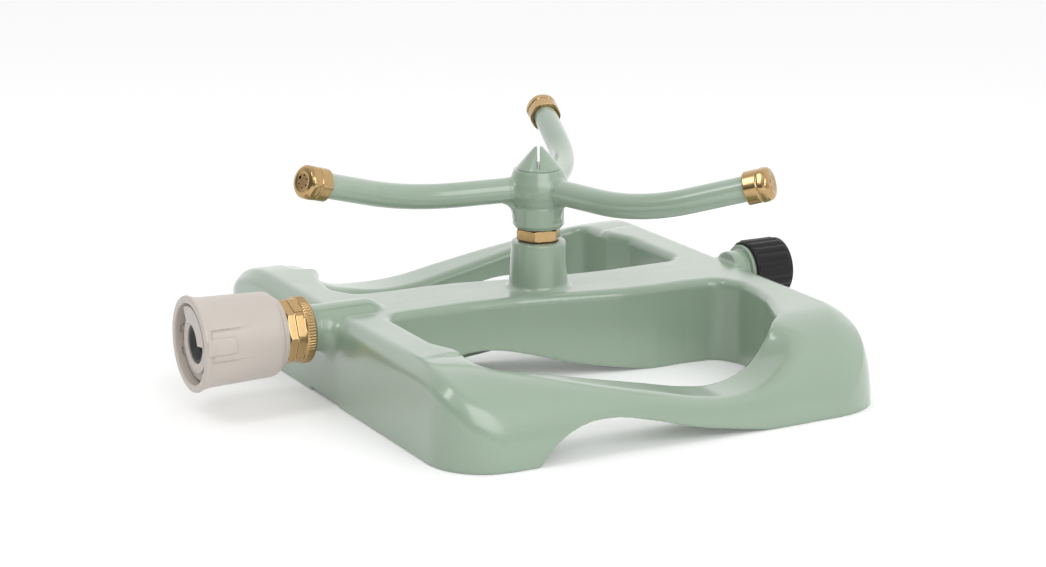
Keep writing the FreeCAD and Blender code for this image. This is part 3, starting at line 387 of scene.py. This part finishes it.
# Outlines of the near half of the base. The far half is the same turned round, except for its dip.
WINDOW_RADIUS = 9.0
WINDOW = [
    (-73.5, -99.0),
    (48.0, -99.0),
    (58.5, -96.2),
    (65.5, -89.5),
    (70.5, -78.0),
    (75.5, -66.0),
    (78.5, -54.0),
    (79.8, -42.0),
    (77.0, -36.5),
    (66.0, -35.6),
    (50.0, -36.3),
    (30.0, -34.8),
    (10.0, -30.8),
    (-20.0, -25.2),
    (-45.0, -23.6),
    (-78.5, -24.7),
    (-78.5, -64.0),
    (-73.5, -78.0),
]
DIP = [
    (-118.0, 46.0),
    (-86.0, 41.0),
    (-70.0, 36.6),
    (-45.0, 30.8),
    (-8.0, 22.8),
    (14.0, 18.2),
    (27.0, 16.9),
    (40.0, 19.2),
    (50.0, 24.2),
    (57.0, 30.4),
    (61.5, 36.5),
    (64.0, 43.0),
    (68.0, 64.0),
]
FAR_DIP = [
    (-118.0, 46.0),
    (-86.0, 41.0),
    (-70.0, 36.6),
    (-45.0, 30.8),
    (-8.0, 22.8),
    (14.0, 18.4),
    (27.0, 17.4),
    (40.0, 18.0),
    (50.0, 19.6),
    (57.0, 21.6),
    (63.0, 24.4),
    (68.0, 28.2),
    (72.5, 32.4),
    (77.0, 37.0),
    (82.0, 43.5),
    (87.0, 53.0),
    (91.0, 66.0),
]
ARCH = [
    (-74.0, -4.5),
    (-70.7, 0.5),
    (-65.3, 6.7),
    (-54.5, 13.6),
    (-40.9, 16.6),
    (-29.9, 16.0),
    (-13.1, 12.3),
    (3.9, 7.5),
    (27.0, 2.9),
    (44.5, 0.3),
    (60.0, -1.5),
]


def spline(points):
    """Smooth curve through an outline's points, as a fine table to look heights up in."""
    xs = np.array([p[0] for p in points])
    ys = np.array([p[1] for p in points])
    slopes = np.gradient(ys, xs)
    fine = np.linspace(xs[0], xs[-1], 600)
    index = np.clip(np.searchsorted(xs, fine, side="right") - 1, 0, len(xs) - 2)
    width = xs[index + 1] - xs[index]
    t = (fine - xs[index]) / width
    height = (
        (2 * t**3 - 3 * t**2 + 1) * ys[index]
        + (t**3 - 2 * t**2 + t) * width * slopes[index]
        + (-2 * t**3 + 3 * t**2) * ys[index + 1]
        + (t**3 - t**2) * width * slopes[index + 1]
    )
    return fine, height, np.gradient(height, fine)


def below_curve(table, x, z):
    """Signed distance to the region under a curve: negative below it."""
    fine, height, slope = table
    rise = np.interp(x, fine, height).astype(np.float32)
    lean = np.interp(x, fine, slope).astype(np.float32)
    return (z - rise) / np.sqrt(1 + lean**2)


def plan_sides(x, y, z):
    """Leaning sides with rounded corners in plan, and the y part of their outward direction."""
    across = np.abs(x) + SIDE_DRAFT * z - BASE_HALF_X + PLAN_RADIUS
    along = np.abs(y) - BASE_HALF_Y + PLAN_RADIUS
    reach = np.hypot(np.maximum(across, 0), np.maximum(along, 0))
    sides = reach + np.minimum(np.maximum(across, along), 0) - PLAN_RADIUS
    corner = np.maximum(along, 0) / np.maximum(reach, 0.01)
    facing = np.where(reach > 0.01, corner, np.where(along > across, 1.0, 0.0))
    return sides, facing


def domed_top(y, z, power, start):
    """Flat plate that curves down to the ground at both ends, and the y part of its direction."""
    depth = BASE_HALF_Y - start
    out = np.maximum(np.abs(y) - start, 0.05) / depth
    up = np.maximum(z, 0.05) / PLATE_TOP
    total = (out**power + up**power) ** (1 / power)
    lean_y = (out / total) ** (power - 1) / depth
    lean_z = (up / total) ** (power - 1) / PLATE_TOP
    steep = np.hypot(lean_y, lean_z)
    return (total - 1) / np.maximum(steep, 0.008), lean_y / steep


def half_x(x, y):
    """Place along x in each half's own terms: the far half is the near one turned round."""
    return np.where(y < 0, x, -x)


def base_block(x, y, z, mirrored):
    """The base's outer block, with a bevelled ridge where its sides meet its top.

    Each end is rounder on one side, and the near end has a softer ridge there.
    """
    rounder = smooth_step(mirrored, -40, 40)
    sides, sides_y = plan_sides(x, y, z)
    top, top_y = domed_top(y, z, 2.45 - 0.3 * rounder, END_START - 8 * rounder * (y > 0))
    soft = smooth_step(-y, 85, 118) * smooth_step(mirrored, 40, 90)
    alike = sides_y * top_y
    width = (RIDGE + 2.5 * soft) * np.sqrt((1 - alike) / 2)
    bevel = (sides + top + width) / np.sqrt(2 + 2 * alike)
    return common(common(sides, top, 1.0), bevel, 1.3 + 6.5 * soft)


def dip_above(y, z, mirrored):
    """Space above an end rail; the near one's steep end leans over as it nears the outer edge."""
    rise = np.clip((z - 20) / 17, 0, 1.2)
    shift = np.maximum(-y - 108, 0) * (0.15 + 0.8 * rise**2) * smooth_step(mirrored, 15, 45)
    near = below_curve(spline(DIP), mirrored - shift, z)
    far = below_curve(spline(FAR_DIP), mirrored, z)
    return -np.where(y < 0, near, far)


def hollow_plate(x, y, z):
    """Thin-walled sled: the block with its windows and dips, and nothing inside."""
    out = np.abs(y)
    mirrored = half_x(x, y)
    cast = base_block(x, y, z, mirrored)
    window = polygon(mirrored, -out, WINDOW) - WINDOW_RADIUS
    cast = less(cast, window, 3.8)
    edge = 4.0 + 5.0 * smooth_step(mirrored, 30, 60) * (y > 0)
    cast = less(cast, common(dip_above(y, z, mirrored), DIP_INNER - out, 2.0), edge)
    return less(cast, cast + WALL)


def add_water_way(shell, x, y, z):
    """Duct under the plate, the round spine and inlet neck, the outlet neck, and the riser boss."""
    bore_line = np.hypot(y, z - PIPE_Z)
    duct = rounded_box(y, z - DUCT_Z, DUCT_HALF_WIDTH, DUCT_HALF_HEIGHT, 2.0)
    shell = join(shell, common(duct, np.abs(x) - DUCT_HALF_LENGTH), 1.5)
    nose = np.maximum(x - SPINE_NOSE_X, 0)
    spine = common(np.sqrt(bore_line**2 + nose**2) - SPINE_RADIUS, INLET_NECK_X - x, 0.4)
    shell = join(shell, spine, 1.5 + 4.5 * smooth_step(-x, 103, 110))
    outlet_neck = between(x, OUTLET_NECK_X - 7.5, OUTLET_NECK_X)
    shell = join(shell, common(bore_line - OUTLET_NECK_RADIUS, outlet_neck, 0.4), 1.6)
    boss = np.hypot(x, y) - BOSS_RADIUS + (z - PLATE_TOP) * BOSS_DRAFT
    boss = common(common(boss, z - BOSS_TOP, 0.9), BOSS_FOOT - z)
    return join(shell, boss, 2.5)


def make_base():
    """Shell with windows, dips and arches, the riser boss and the water way, as one casting."""
    step = 0.9
    low, high = (-120, -142, -3), (118, 142, 68)
    x, y, z = grid(low, high, step)
    out = np.abs(y)
    shell = add_water_way(hollow_plate(x, y, z), x, y, z)
    arch = below_curve(spline(ARCH), half_x(x, y), z)
    shell = less(shell, common(arch, ARCH_INNER - out), 1.0)
    # the middle strip, under the water way, stands just clear of the ground
    shell = less(shell, common(out - STRIP_HALF_WIDTH, z - STRIP_CLEARANCE), 0.6)
    shell = common(shell, -z, 0.5)
    shell = less(shell, np.hypot(y, z - PIPE_Z) - WATER_BORE)
    shell = less(shell, common(np.hypot(x, y) - RISER_BORE, PIPE_Z - z))
    settle(mesh_field("base_casting", low, step, shell), "base_shell")


def threads(along, y, z, root, crest, pitch=2.2):
    """Radius of a screw thread, from its root to its crest, winding about the first grid axis."""
    phase = np.mod(along / pitch - np.arctan2(z, y) / (2 * math.pi), 1)
    return root + (crest - root) * np.clip(np.abs(2 * phase - 1) * 1.7 - 0.35, 0, 1)


def make_necks():
    """Machined ends of the two necks: hose thread at the inlet, collar and thread at the outlet."""
    step = 0.3
    low, high = (-129.2, -14, -14), (-116.5, 14, 14)
    x, y, z = grid(low, high, step)
    radius = np.hypot(y, z)
    outer = threads(x, y, z, 12.3, 13.2) * (x < -120) + 11.15 * (x >= -120)
    neck = common(radius - outer, between(x, -128.4, -117.5), 0.4)
    bores = [
        (-116.0, -5.0),
        (-116.0, 4.8),
        (-122.4, 4.8),
        (-122.4, 6.6),
        (-127.15, 6.6),
        (-127.15, 9.05),
        (-129.4, 9.05),
        (-129.4, -5.0),
    ]
    neck = less(neck, turned(x, radius, bores, 0.05), 0.2)
    settle(mesh_field("inlet_neck", low, step, neck, ALONG_PIPE), "base_shell")

    low, high = (111.0, -14, -14), (131.8, 14, 14)
    x, y, z = grid(low, high, step)
    radius = np.hypot(y, z)
    outer = threads(x, y, z, 11.8, 12.6) * (x > 115.8) + 10.65 * (x < 113.6)
    outer = outer + 12.9 * (x >= 113.6) * (x <= 115.3) + 11.4 * (x > 115.3) * (x <= 115.8)
    neck = common(radius - outer, between(x, 112.0, 131.0), 0.4)
    neck = less(neck, radius - 4.8, 0.3)
    settle(mesh_field("outlet_neck", low, step, neck, ALONG_PIPE), "base_shell")


def make_spindle():
    """Brass spindle: thread in the boss, hexagon, journal with its seal groove, thread for the nut."""
    step = 0.25
    low, high = (51.0, -11.5, -11.5), (86.8, 11.5, 11.5)
    z, x, y = grid(low, high, step)
    radius = np.hypot(x, y)
    stem = turned(
        z,
        radius,
        [
            (51.5, 2.6),
            (51.5, 6.95),
            (66.0, 6.95),
            (66.0, 4.5),
            (74.0, 4.5),
            (74.0, 3.1),
            (75.8, 3.1),
            (75.8, 4.5),
            (81.8, 4.5),
            (81.8, 3.6),
            (86.3, 3.6),
            (86.3, 2.6),
        ],
        0.1,
    )
    head = common(prism(x, y, 6, 19.0, 22.3), between(z, 64.0, 69.5), 0.15)
    for chamfer in (z - 69.5, 64.0 - z):
        head = common(head, chamfer * 0.866 + (radius - 9.9) * 0.5, 0.1)
    head = less(head, radius - 3.5)
    settle(mesh_field("spindle", low, step, join(stem, head), UPRIGHT), "riser_spindle")


# ---- rotor -----------------------------------------------------------------------------------------

# The line of one arm, as in the CAD: its knee and its nozzle, by reach, offset and height.
ARM_AZIMUTH = 60.94
ARM_Z = 88.9
ARM_RADIUS = 6.02
KNEE = (62.0, -13.3, 87.0)
TIP = (117.4, 0.0, 103.3)


def arm_place(number, point):
    """A point given by its reach, offset and height on one arm, in rotor millimetres."""
    azimuth = math.radians(ARM_AZIMUTH + 120 * number)
    turn = Matrix.Rotation(azimuth, 3, "Z")
    return turn @ Vector(point)


def make_hub():
    """Skirt and domed hub, with three arm roots that melt into it and a curved web under each."""
    step = 0.3
    low, high = (69.4, -23, -23), (98.6, 23, 23)
    z, x, y = grid(low, high, step)
    radius = np.hypot(x, y)
    hub = turned(
        z,
        radius,
        [
            (70.0, -5.0),
            (70.0, 11.3),
            (71.0, 11.3),
            (71.3, 12.3),
            (80.2, 12.3),
            (80.7, 12.0),
            (83.0, 13.2),
            (86.0, 14.2),
            (89.0, 14.5),
            (92.0, 13.9),
            (94.3, 13.0),
            (96.8, 12.1),
            (98.0, 11.6),
            (98.0, -5.0),
        ],
        0.25,
    )
    root = Vector((0, 0, ARM_Z))
    ports = None
    for number in range(3):
        heading = (arm_place(number, KNEE) - root).normalized()
        along = x * heading.x + y * heading.y + (z - ARM_Z) * heading.z
        away = np.sqrt(np.maximum(x**2 + y**2 + (z - ARM_Z) ** 2 - along**2, 0))
        arm = common(away - ARM_RADIUS, between(along, 0, 15.6))
        flat = math.hypot(heading.x, heading.y)
        reach = (x * heading.x + y * heading.y) / flat
        aside = (y * heading.x - x * heading.y) / flat
        web = common(8.6 - np.hypot(reach - 20.6, z - 74.3), between(reach, 8, 20.2))
        web = common(common(web, between(z, 74.8, 88)), np.abs(aside) - 2.6, 0.8)
        hub = join(hub, join(arm, web, 0.8), 1.3)
        port = common(away - 4.2, between(along, 0, 8.4))
        ports = port if ports is None else np.minimum(ports, port)
    chamber = [
        (69.0, -5.0),
        (69.0, 4.55),
        (81.0, 4.55),
        (81.0, 7.2),
        (99.0, 7.2),
        (99.0, -5.0),
    ]
    hub = less(hub, turned(z, radius, chamber, 0.05), 0.2)
    hub = less(hub, ports)
    settle(mesh_field("hub_casting", low, step, hub, UPRIGHT), "rotor_hub")


def make_cap():
    """Conical screw plug with a coin slot across it."""
    step = 0.25
    low, high = (95.0, -12.6, -12.6), (109.2, 12.6, 12.6)
    z, x, y = grid(low, high, step)
    radius = np.hypot(x, y)
    cone = turned(
        z,
        radius,
        [
            (95.5, -5.0),
            (95.5, 7.15),
            (96.1, 7.15),
            (96.1, 5.9),
            (97.5, 5.9),
            (97.5, 7.15),
            (97.9, 7.15),
            (97.9, 10.5),
            (98.6, 10.5),
            (99.7, 9.6),
            (104.8, 5.3),
            (107.6, 2.8),
            (108.5, 1.9),
            (108.7, 1.4),
            (108.7, -5.0),
        ],
        0.12,
    )
    azimuth = math.radians(ARM_AZIMUTH)
    aside = y * math.cos(azimuth) - x * math.sin(azimuth)
    slot = common(np.abs(aside) - 0.65, 99.3 - z)
    settle(mesh_field("cap_plug", low, step, less(cone, slot, 0.25), UPRIGHT), "rotor_cap")


def make_nozzle(number):
    """Brass cap: round skirt, a groove, a domed head with six soft flats and a ring of spray holes."""
    step = 0.2
    low, high = (-7.4, -8.8, -8.8), (5.9, 8.8, 8.8)
    along, y, z = grid(low, high, step)
    radius = np.hypot(y, z)
    cap = turned(
        along,
        radius,
        [
            (-7.0, 6.08),
            (-7.0, 7.9),
            (-0.9, 7.9),
            (-0.7, 7.5),
            (-0.3, 7.5),
            (-0.1, 8.3),
            (2.0, 8.3),
            (3.7, 7.7),
            (4.9, 6.6),
            (5.4, 5.0),
            (5.1, 3.6),
            (5.0, -5.0),
            (2.0, -5.0),
            (2.0, 4.4),
            (1.16, 4.4),
            (1.16, 6.08),
        ],
        0.1,
    )
    cap = common(cap, prism(y, z, 6, 15.5, 30.0), 0.6)
    for sixth in range(6):
        angle = math.radians(60 * sixth + 30)
        size = 0.9 if sixth == 2 else 0.55
        hole = np.hypot(y - 2.9 * math.cos(angle), z - 2.9 * math.sin(angle)) - size
        cap = less(cap, common(hole, 1.5 - along), 0.15)
    knee, tip = arm_place(number, KNEE), arm_place(number, TIP)
    forward = (tip - knee).normalized()
    upward = (Vector((0, 0, 1)) - forward * forward.z).normalized()
    sideways = upward.cross(forward)
    place = Matrix((forward, sideways, upward)).transposed().to_4x4()
    place.translation = tip
    settle(mesh_field(f"nozzle_cap_{number + 1}", low, step, cap, place), f"nozzle_{number + 1}")


# ---- hose fittings ---------------------------------------------------------------------------------

def make_inlet_nut():
    """Brass hose nut: a finely knurled ring, then an octagon in two steps."""
    step = 0.22
    low, high = (-135.0, -16, -16), (-121.0, 16, 16)
    x, y, z = grid(low, high, step)
    radius = np.hypot(y, z)
    nut = turned(
        x,
        radius,
        [
            (-121.5, 13.3),
            (-121.5, 14.9),
            (-122.1, 15.5),
            (-125.3, 15.5),
            (-126.0, 14.75),
            (-126.6, 15.2),
            (-133.4, 15.2),
            (-134.5, 13.6),
            (-134.5, 9.7),
            (-132.5, 9.7),
            (-132.5, 13.3),
        ],
        0.15,
    )
    teeth = 72
    wave = np.abs(np.mod(np.arctan2(z, y) * teeth / (2 * math.pi), 1) * 2 - 1)
    knurl = radius - 15.5 + 0.5 * wave
    nut = common(nut, np.where(x > -125.6, knurl, -9))
    rear = prism(y, z, 8, 28.8, 22.5)
    front = prism(y, z, 8, 27.6, 22.5)
    flats = join(common(rear, -130.4 - x), front)
    nut = common(nut, np.where(x < -126.0, flats, -9), 0.25)
    settle(mesh_field("hose_nut", low, step, nut, ALONG_PIPE), "inlet_nut")


def make_coupler_core():
    """Core of the quick coupler: a nose with a high claw, cut off square, and a low one opposite."""
    step = 0.3
    low, high = (-178.4, -18.2, -18.2), (-129.6, 18.2, 18.2)
    x, y, z = grid(low, high, step)
    radius = np.hypot(y, z)
    core = turned(
        x,
        radius,
        [
            (-130.2, 5.2),
            (-130.2, 12.9),
            (-132.35, 12.9),
            (-132.35, 9.5),
            (-135.0, 9.5),
            (-135.0, 16.0),
            (-136.5, 16.0),
            (-136.5, 17.2),
            (-138.05, 17.2),
            (-138.05, 16.7),
            (-167.85, 16.7),
            (-167.85, 15.9),
            (-169.2, 15.9),
            (-169.2, 16.7),
            (-171.5, 16.7),
            (-171.5, 13.6),
            (-174.9, 13.6),
            (-174.9, 9.2),
            (-168.5, 9.2),
            (-168.5, 5.2),
        ],
        0.15,
    )
    clock = np.degrees(np.arctan2(-y, z))
    sweep, rise, middle_radius = 110.0, 0.6, 13.5
    for start, front in ((-28.0, 176.9), (152.0, 173.4)):
        turn = np.mod(clock - start + 20, 360) - 20
        claw = common(radius - 17.4, 9.4 - radius, 0.3)
        claw = common(claw, -x - front - rise * np.clip(turn / sweep, 0, 1), 0.3)
        claw = common(claw, between(turn, 0, sweep) * math.radians(middle_radius), 0.2)
        claw = common(claw, x + 170.5)
        core = join(core, claw, 0.4)
    settle(mesh_field("coupler_core", low, step, core, ALONG_PIPE), "coupler_body")


def make_seal():
    """Rubber face seal in the coupler's nose."""
    step = 0.22
    low, high = (-177.4, -10.0, -10.0), (-168.0, 10.0, 10.0)
    x, y, z = grid(low, high, step)
    outline = [(-168.6, 5.4), (-168.6, 9.1), (-174.3, 9.1), (-174.3, 7.6), (-172.6, 6.6), (-171.0, 5.4)]
    seal = turned(x, np.hypot(y, z), outline, 0.3)
    settle(mesh_field("face_seal", low, step, seal, ALONG_PIPE), "coupler_seal")


def make_collar():
    """Grip sleeve: flared lip, a shallow panel with grooved edges and a raised tab on two sides."""
    step = 0.35
    low, high = (-178.2, -22.8, -22.8), (-137.4, 22.8, 22.8)
    x, y, z = grid(low, high, step)
    radius = np.hypot(y, z)
    sleeve = turned(
        x,
        radius,
        [
            (-138.25, 16.75),
            (-138.25, 17.7),
            (-138.5, 18.6),
            (-139.4, 19.2),
            (-141.0, 19.6),
            (-160.0, 20.3),
            (-170.0, 20.55),
            (-173.0, 20.9),
            (-175.2, 21.6),
            (-176.4, 22.2),
            (-177.5, 21.9),
            (-177.5, 18.6),
            (-167.9, 18.6),
            (-167.9, 16.75),
        ],
        0.3,
    )
    grip = sleeve
    lean = math.radians(8.0)
    for side in (-1, 1):
        outwards = side * (y * math.cos(lean) - z * math.sin(lean))
        across = y * math.sin(lean) + z * math.cos(lean)
        facing = -outwards
        panel = rounded_box(across, x + 156.0, 7.1, 18.0, 1.0)
        # the panel and its grooves run out towards the rear
        fade = 1 - 1.2 * smooth_step(x, -166, -148)
        floor = common(common(panel, -sleeve - 0.22 * fade), facing)
        groove = common(common(np.abs(panel) - 0.4, -sleeve - 0.75 * fade), facing)
        grip = less(grip, floor, 0.1)
        grip = less(grip, groove, 0.15)
        tab = common(rounded_box(across, x + 169.6, 3.7, 7.2, 1.4), np.abs(sleeve - 0.2) - 0.9, 0.5)
        grip = join(grip, common(tab, facing), 0.25)
    grip = less(grip, radius - 16.95)
    grip = less(grip, common(radius - 18.6, x + 167.9))
    settle(mesh_field("coupler_grip", low, step, grip, ALONG_PIPE), "coupler_collar")


def make_outlet_cap():
    """Black screw cap with twenty rounded grip ribs and a plain bore."""
    step = 0.25
    low, high = (115.2, -15.5, -15.5), (136.5, 15.5, 15.5)
    x, y, z = grid(low, high, step)
    radius = np.hypot(y, z)
    cap = turned(
        x,
        radius,
        [
            (115.7, 12.7),
            (115.7, 15.0),
            (135.0, 15.0),
            (136.0, 14.0),
            (136.0, -5.0),
            (133.1, -5.0),
            (133.1, 12.7),
        ],
        0.3,
    )
    ribs = 20
    crest = (0.5 + 0.5 * np.cos(ribs * np.arctan2(z, y))) ** 0.6
    ribbed = smooth_step(x, 116.0, 117.0) * (1 - smooth_step(x, 133.6, 134.8))
    cap = common(cap, radius - 14.25 - 0.75 * crest * ribbed - 0.25 * (x > 134.2), 0.15)
    settle(mesh_field("screw_cap", low, step, cap, ALONG_PIPE), "outlet_cap")


make_base()
make_necks()
make_spindle()
make_hub()
make_cap()
for arm in range(3):
    make_nozzle(arm)
make_inlet_nut()
make_coupler_core()
make_seal()
make_collar()
make_outlet_cap()


# ---- camera, floor and light -----------------------------------------------------------------------

VIEW_AZIMUTH, VIEW_ELEVATION, VIEW_DISTANCE = math.radians(-27.67), math.radians(14.44), 1.300


def direction_to(azimuth, elevation):
    """Unit vector towards a place seen at those angles; azimuth 0 is the front, negative the left."""
    level = math.cos(elevation)
    return Vector((math.sin(azimuth) * level, -math.cos(azimuth) * level, math.sin(elevation)))


def make_camera():
    """Camera at the angle of the reference view: from the left front, a little above."""
    back = direction_to(VIEW_AZIMUTH, VIEW_ELEVATION)
    data = bpy.data.cameras.new("camera")
    data.sensor_width = 36
    data.lens = 93.27
    data.clip_end = 50
    camera = bpy.data.objects.new("camera", data)
    camera.location = row(-4.3, 7.6, 40.6) + back * VIEW_DISTANCE
    camera.rotation_euler = back.to_track_quat("Z", "Y").to_euler()
    bpy.context.scene.collection.objects.link(camera)
    bpy.context.scene.camera = camera


def make_floor():
    mesh = bpy.data.meshes.new("floor")
    half = 6.0
    corners = [(-half, -half, 0), (half, -half, 0), (half, half, 0), (-half, half, 0)]
    mesh.from_pydata(corners, [], [(0, 1, 2, 3)])
    floor = bpy.data.objects.new("floor", mesh)
    bpy.context.scene.collection.objects.link(floor)
    studio = Shader("studio_floor", Roughness=0.9, Emission_Color=(1, 1, 1, 1), Emission_Strength=0.12)
    studio.colours(studio.noise(0.002, 2.0), (0.86, 0.86, 0.86), (0.88, 0.88, 0.88))
    mesh.materials.append(studio.material)


def make_light(name, azimuth, elevation, distance, size, watts):
    """Soft rectangular studio light; its place is given as seen from the middle of the object."""
    aim = Vector((0.02, 0, 0.05))
    towards = direction_to(math.radians(azimuth), math.radians(elevation))
    data = bpy.data.lights.new(name, "AREA")
    data.shape = "RECTANGLE"
    data.size, data.size_y = size
    data.energy = watts
    light = bpy.data.objects.new(name, data)
    light.location = aim + towards * distance
    light.rotation_euler = towards.to_track_quat("Z", "Y").to_euler()
    bpy.context.scene.collection.objects.link(light)


def make_world():
    """White room, bright overhead and darker at the left front, which gives the metal its contrast."""
    world = bpy.data.worlds.new("studio")
    bpy.context.scene.world = world
    world.use_nodes = True
    tree = world.node_tree
    background = tree.nodes["Background"]
    direction = tree.nodes.new("ShaderNodeTexCoord").outputs["Generated"]
    levels = []
    dark_side, overhead = (-0.82, -0.57, 0), (0, 0, 1)
    spans = ((dark_side, (-0.4, 0.75, 1.12, 0.22)), (overhead, (0.3, 0.7, 0.0, 0.8)))
    for heading, span in spans:
        dot = tree.nodes.new("ShaderNodeVectorMath")
        dot.operation = "DOT_PRODUCT"
        dot.inputs[1].default_value = heading
        tree.links.new(direction, dot.inputs[0])
        ramp = tree.nodes.new("ShaderNodeMapRange")
        ramp.interpolation_type = "SMOOTHSTEP"
        for label, value in zip(("From Min", "From Max", "To Min", "To Max"), span):
            ramp.inputs[label].default_value = value
        tree.links.new(dot.outputs["Value"], ramp.inputs["Value"])
        levels.append(ramp.outputs["Result"])
    brighter = tree.nodes.new("ShaderNodeMath")
    brighter.operation = "MAXIMUM"
    for output, target in zip(levels, brighter.inputs):
        tree.links.new(output, target)
    tree.links.new(brighter.outputs[0], background.inputs["Strength"])
    background.inputs["Color"].default_value = (1, 1, 1, 1)


make_camera()
make_floor()
make_world()
make_light("key", azimuth=-80, elevation=50, distance=1.5, size=(0.3, 0.6), watts=3)
make_light("fill", azimuth=-5, elevation=30, distance=1.5, size=(1.2, 1.0), watts=10.5)
bpy.context.scene.view_settings.view_transform = "Standard"
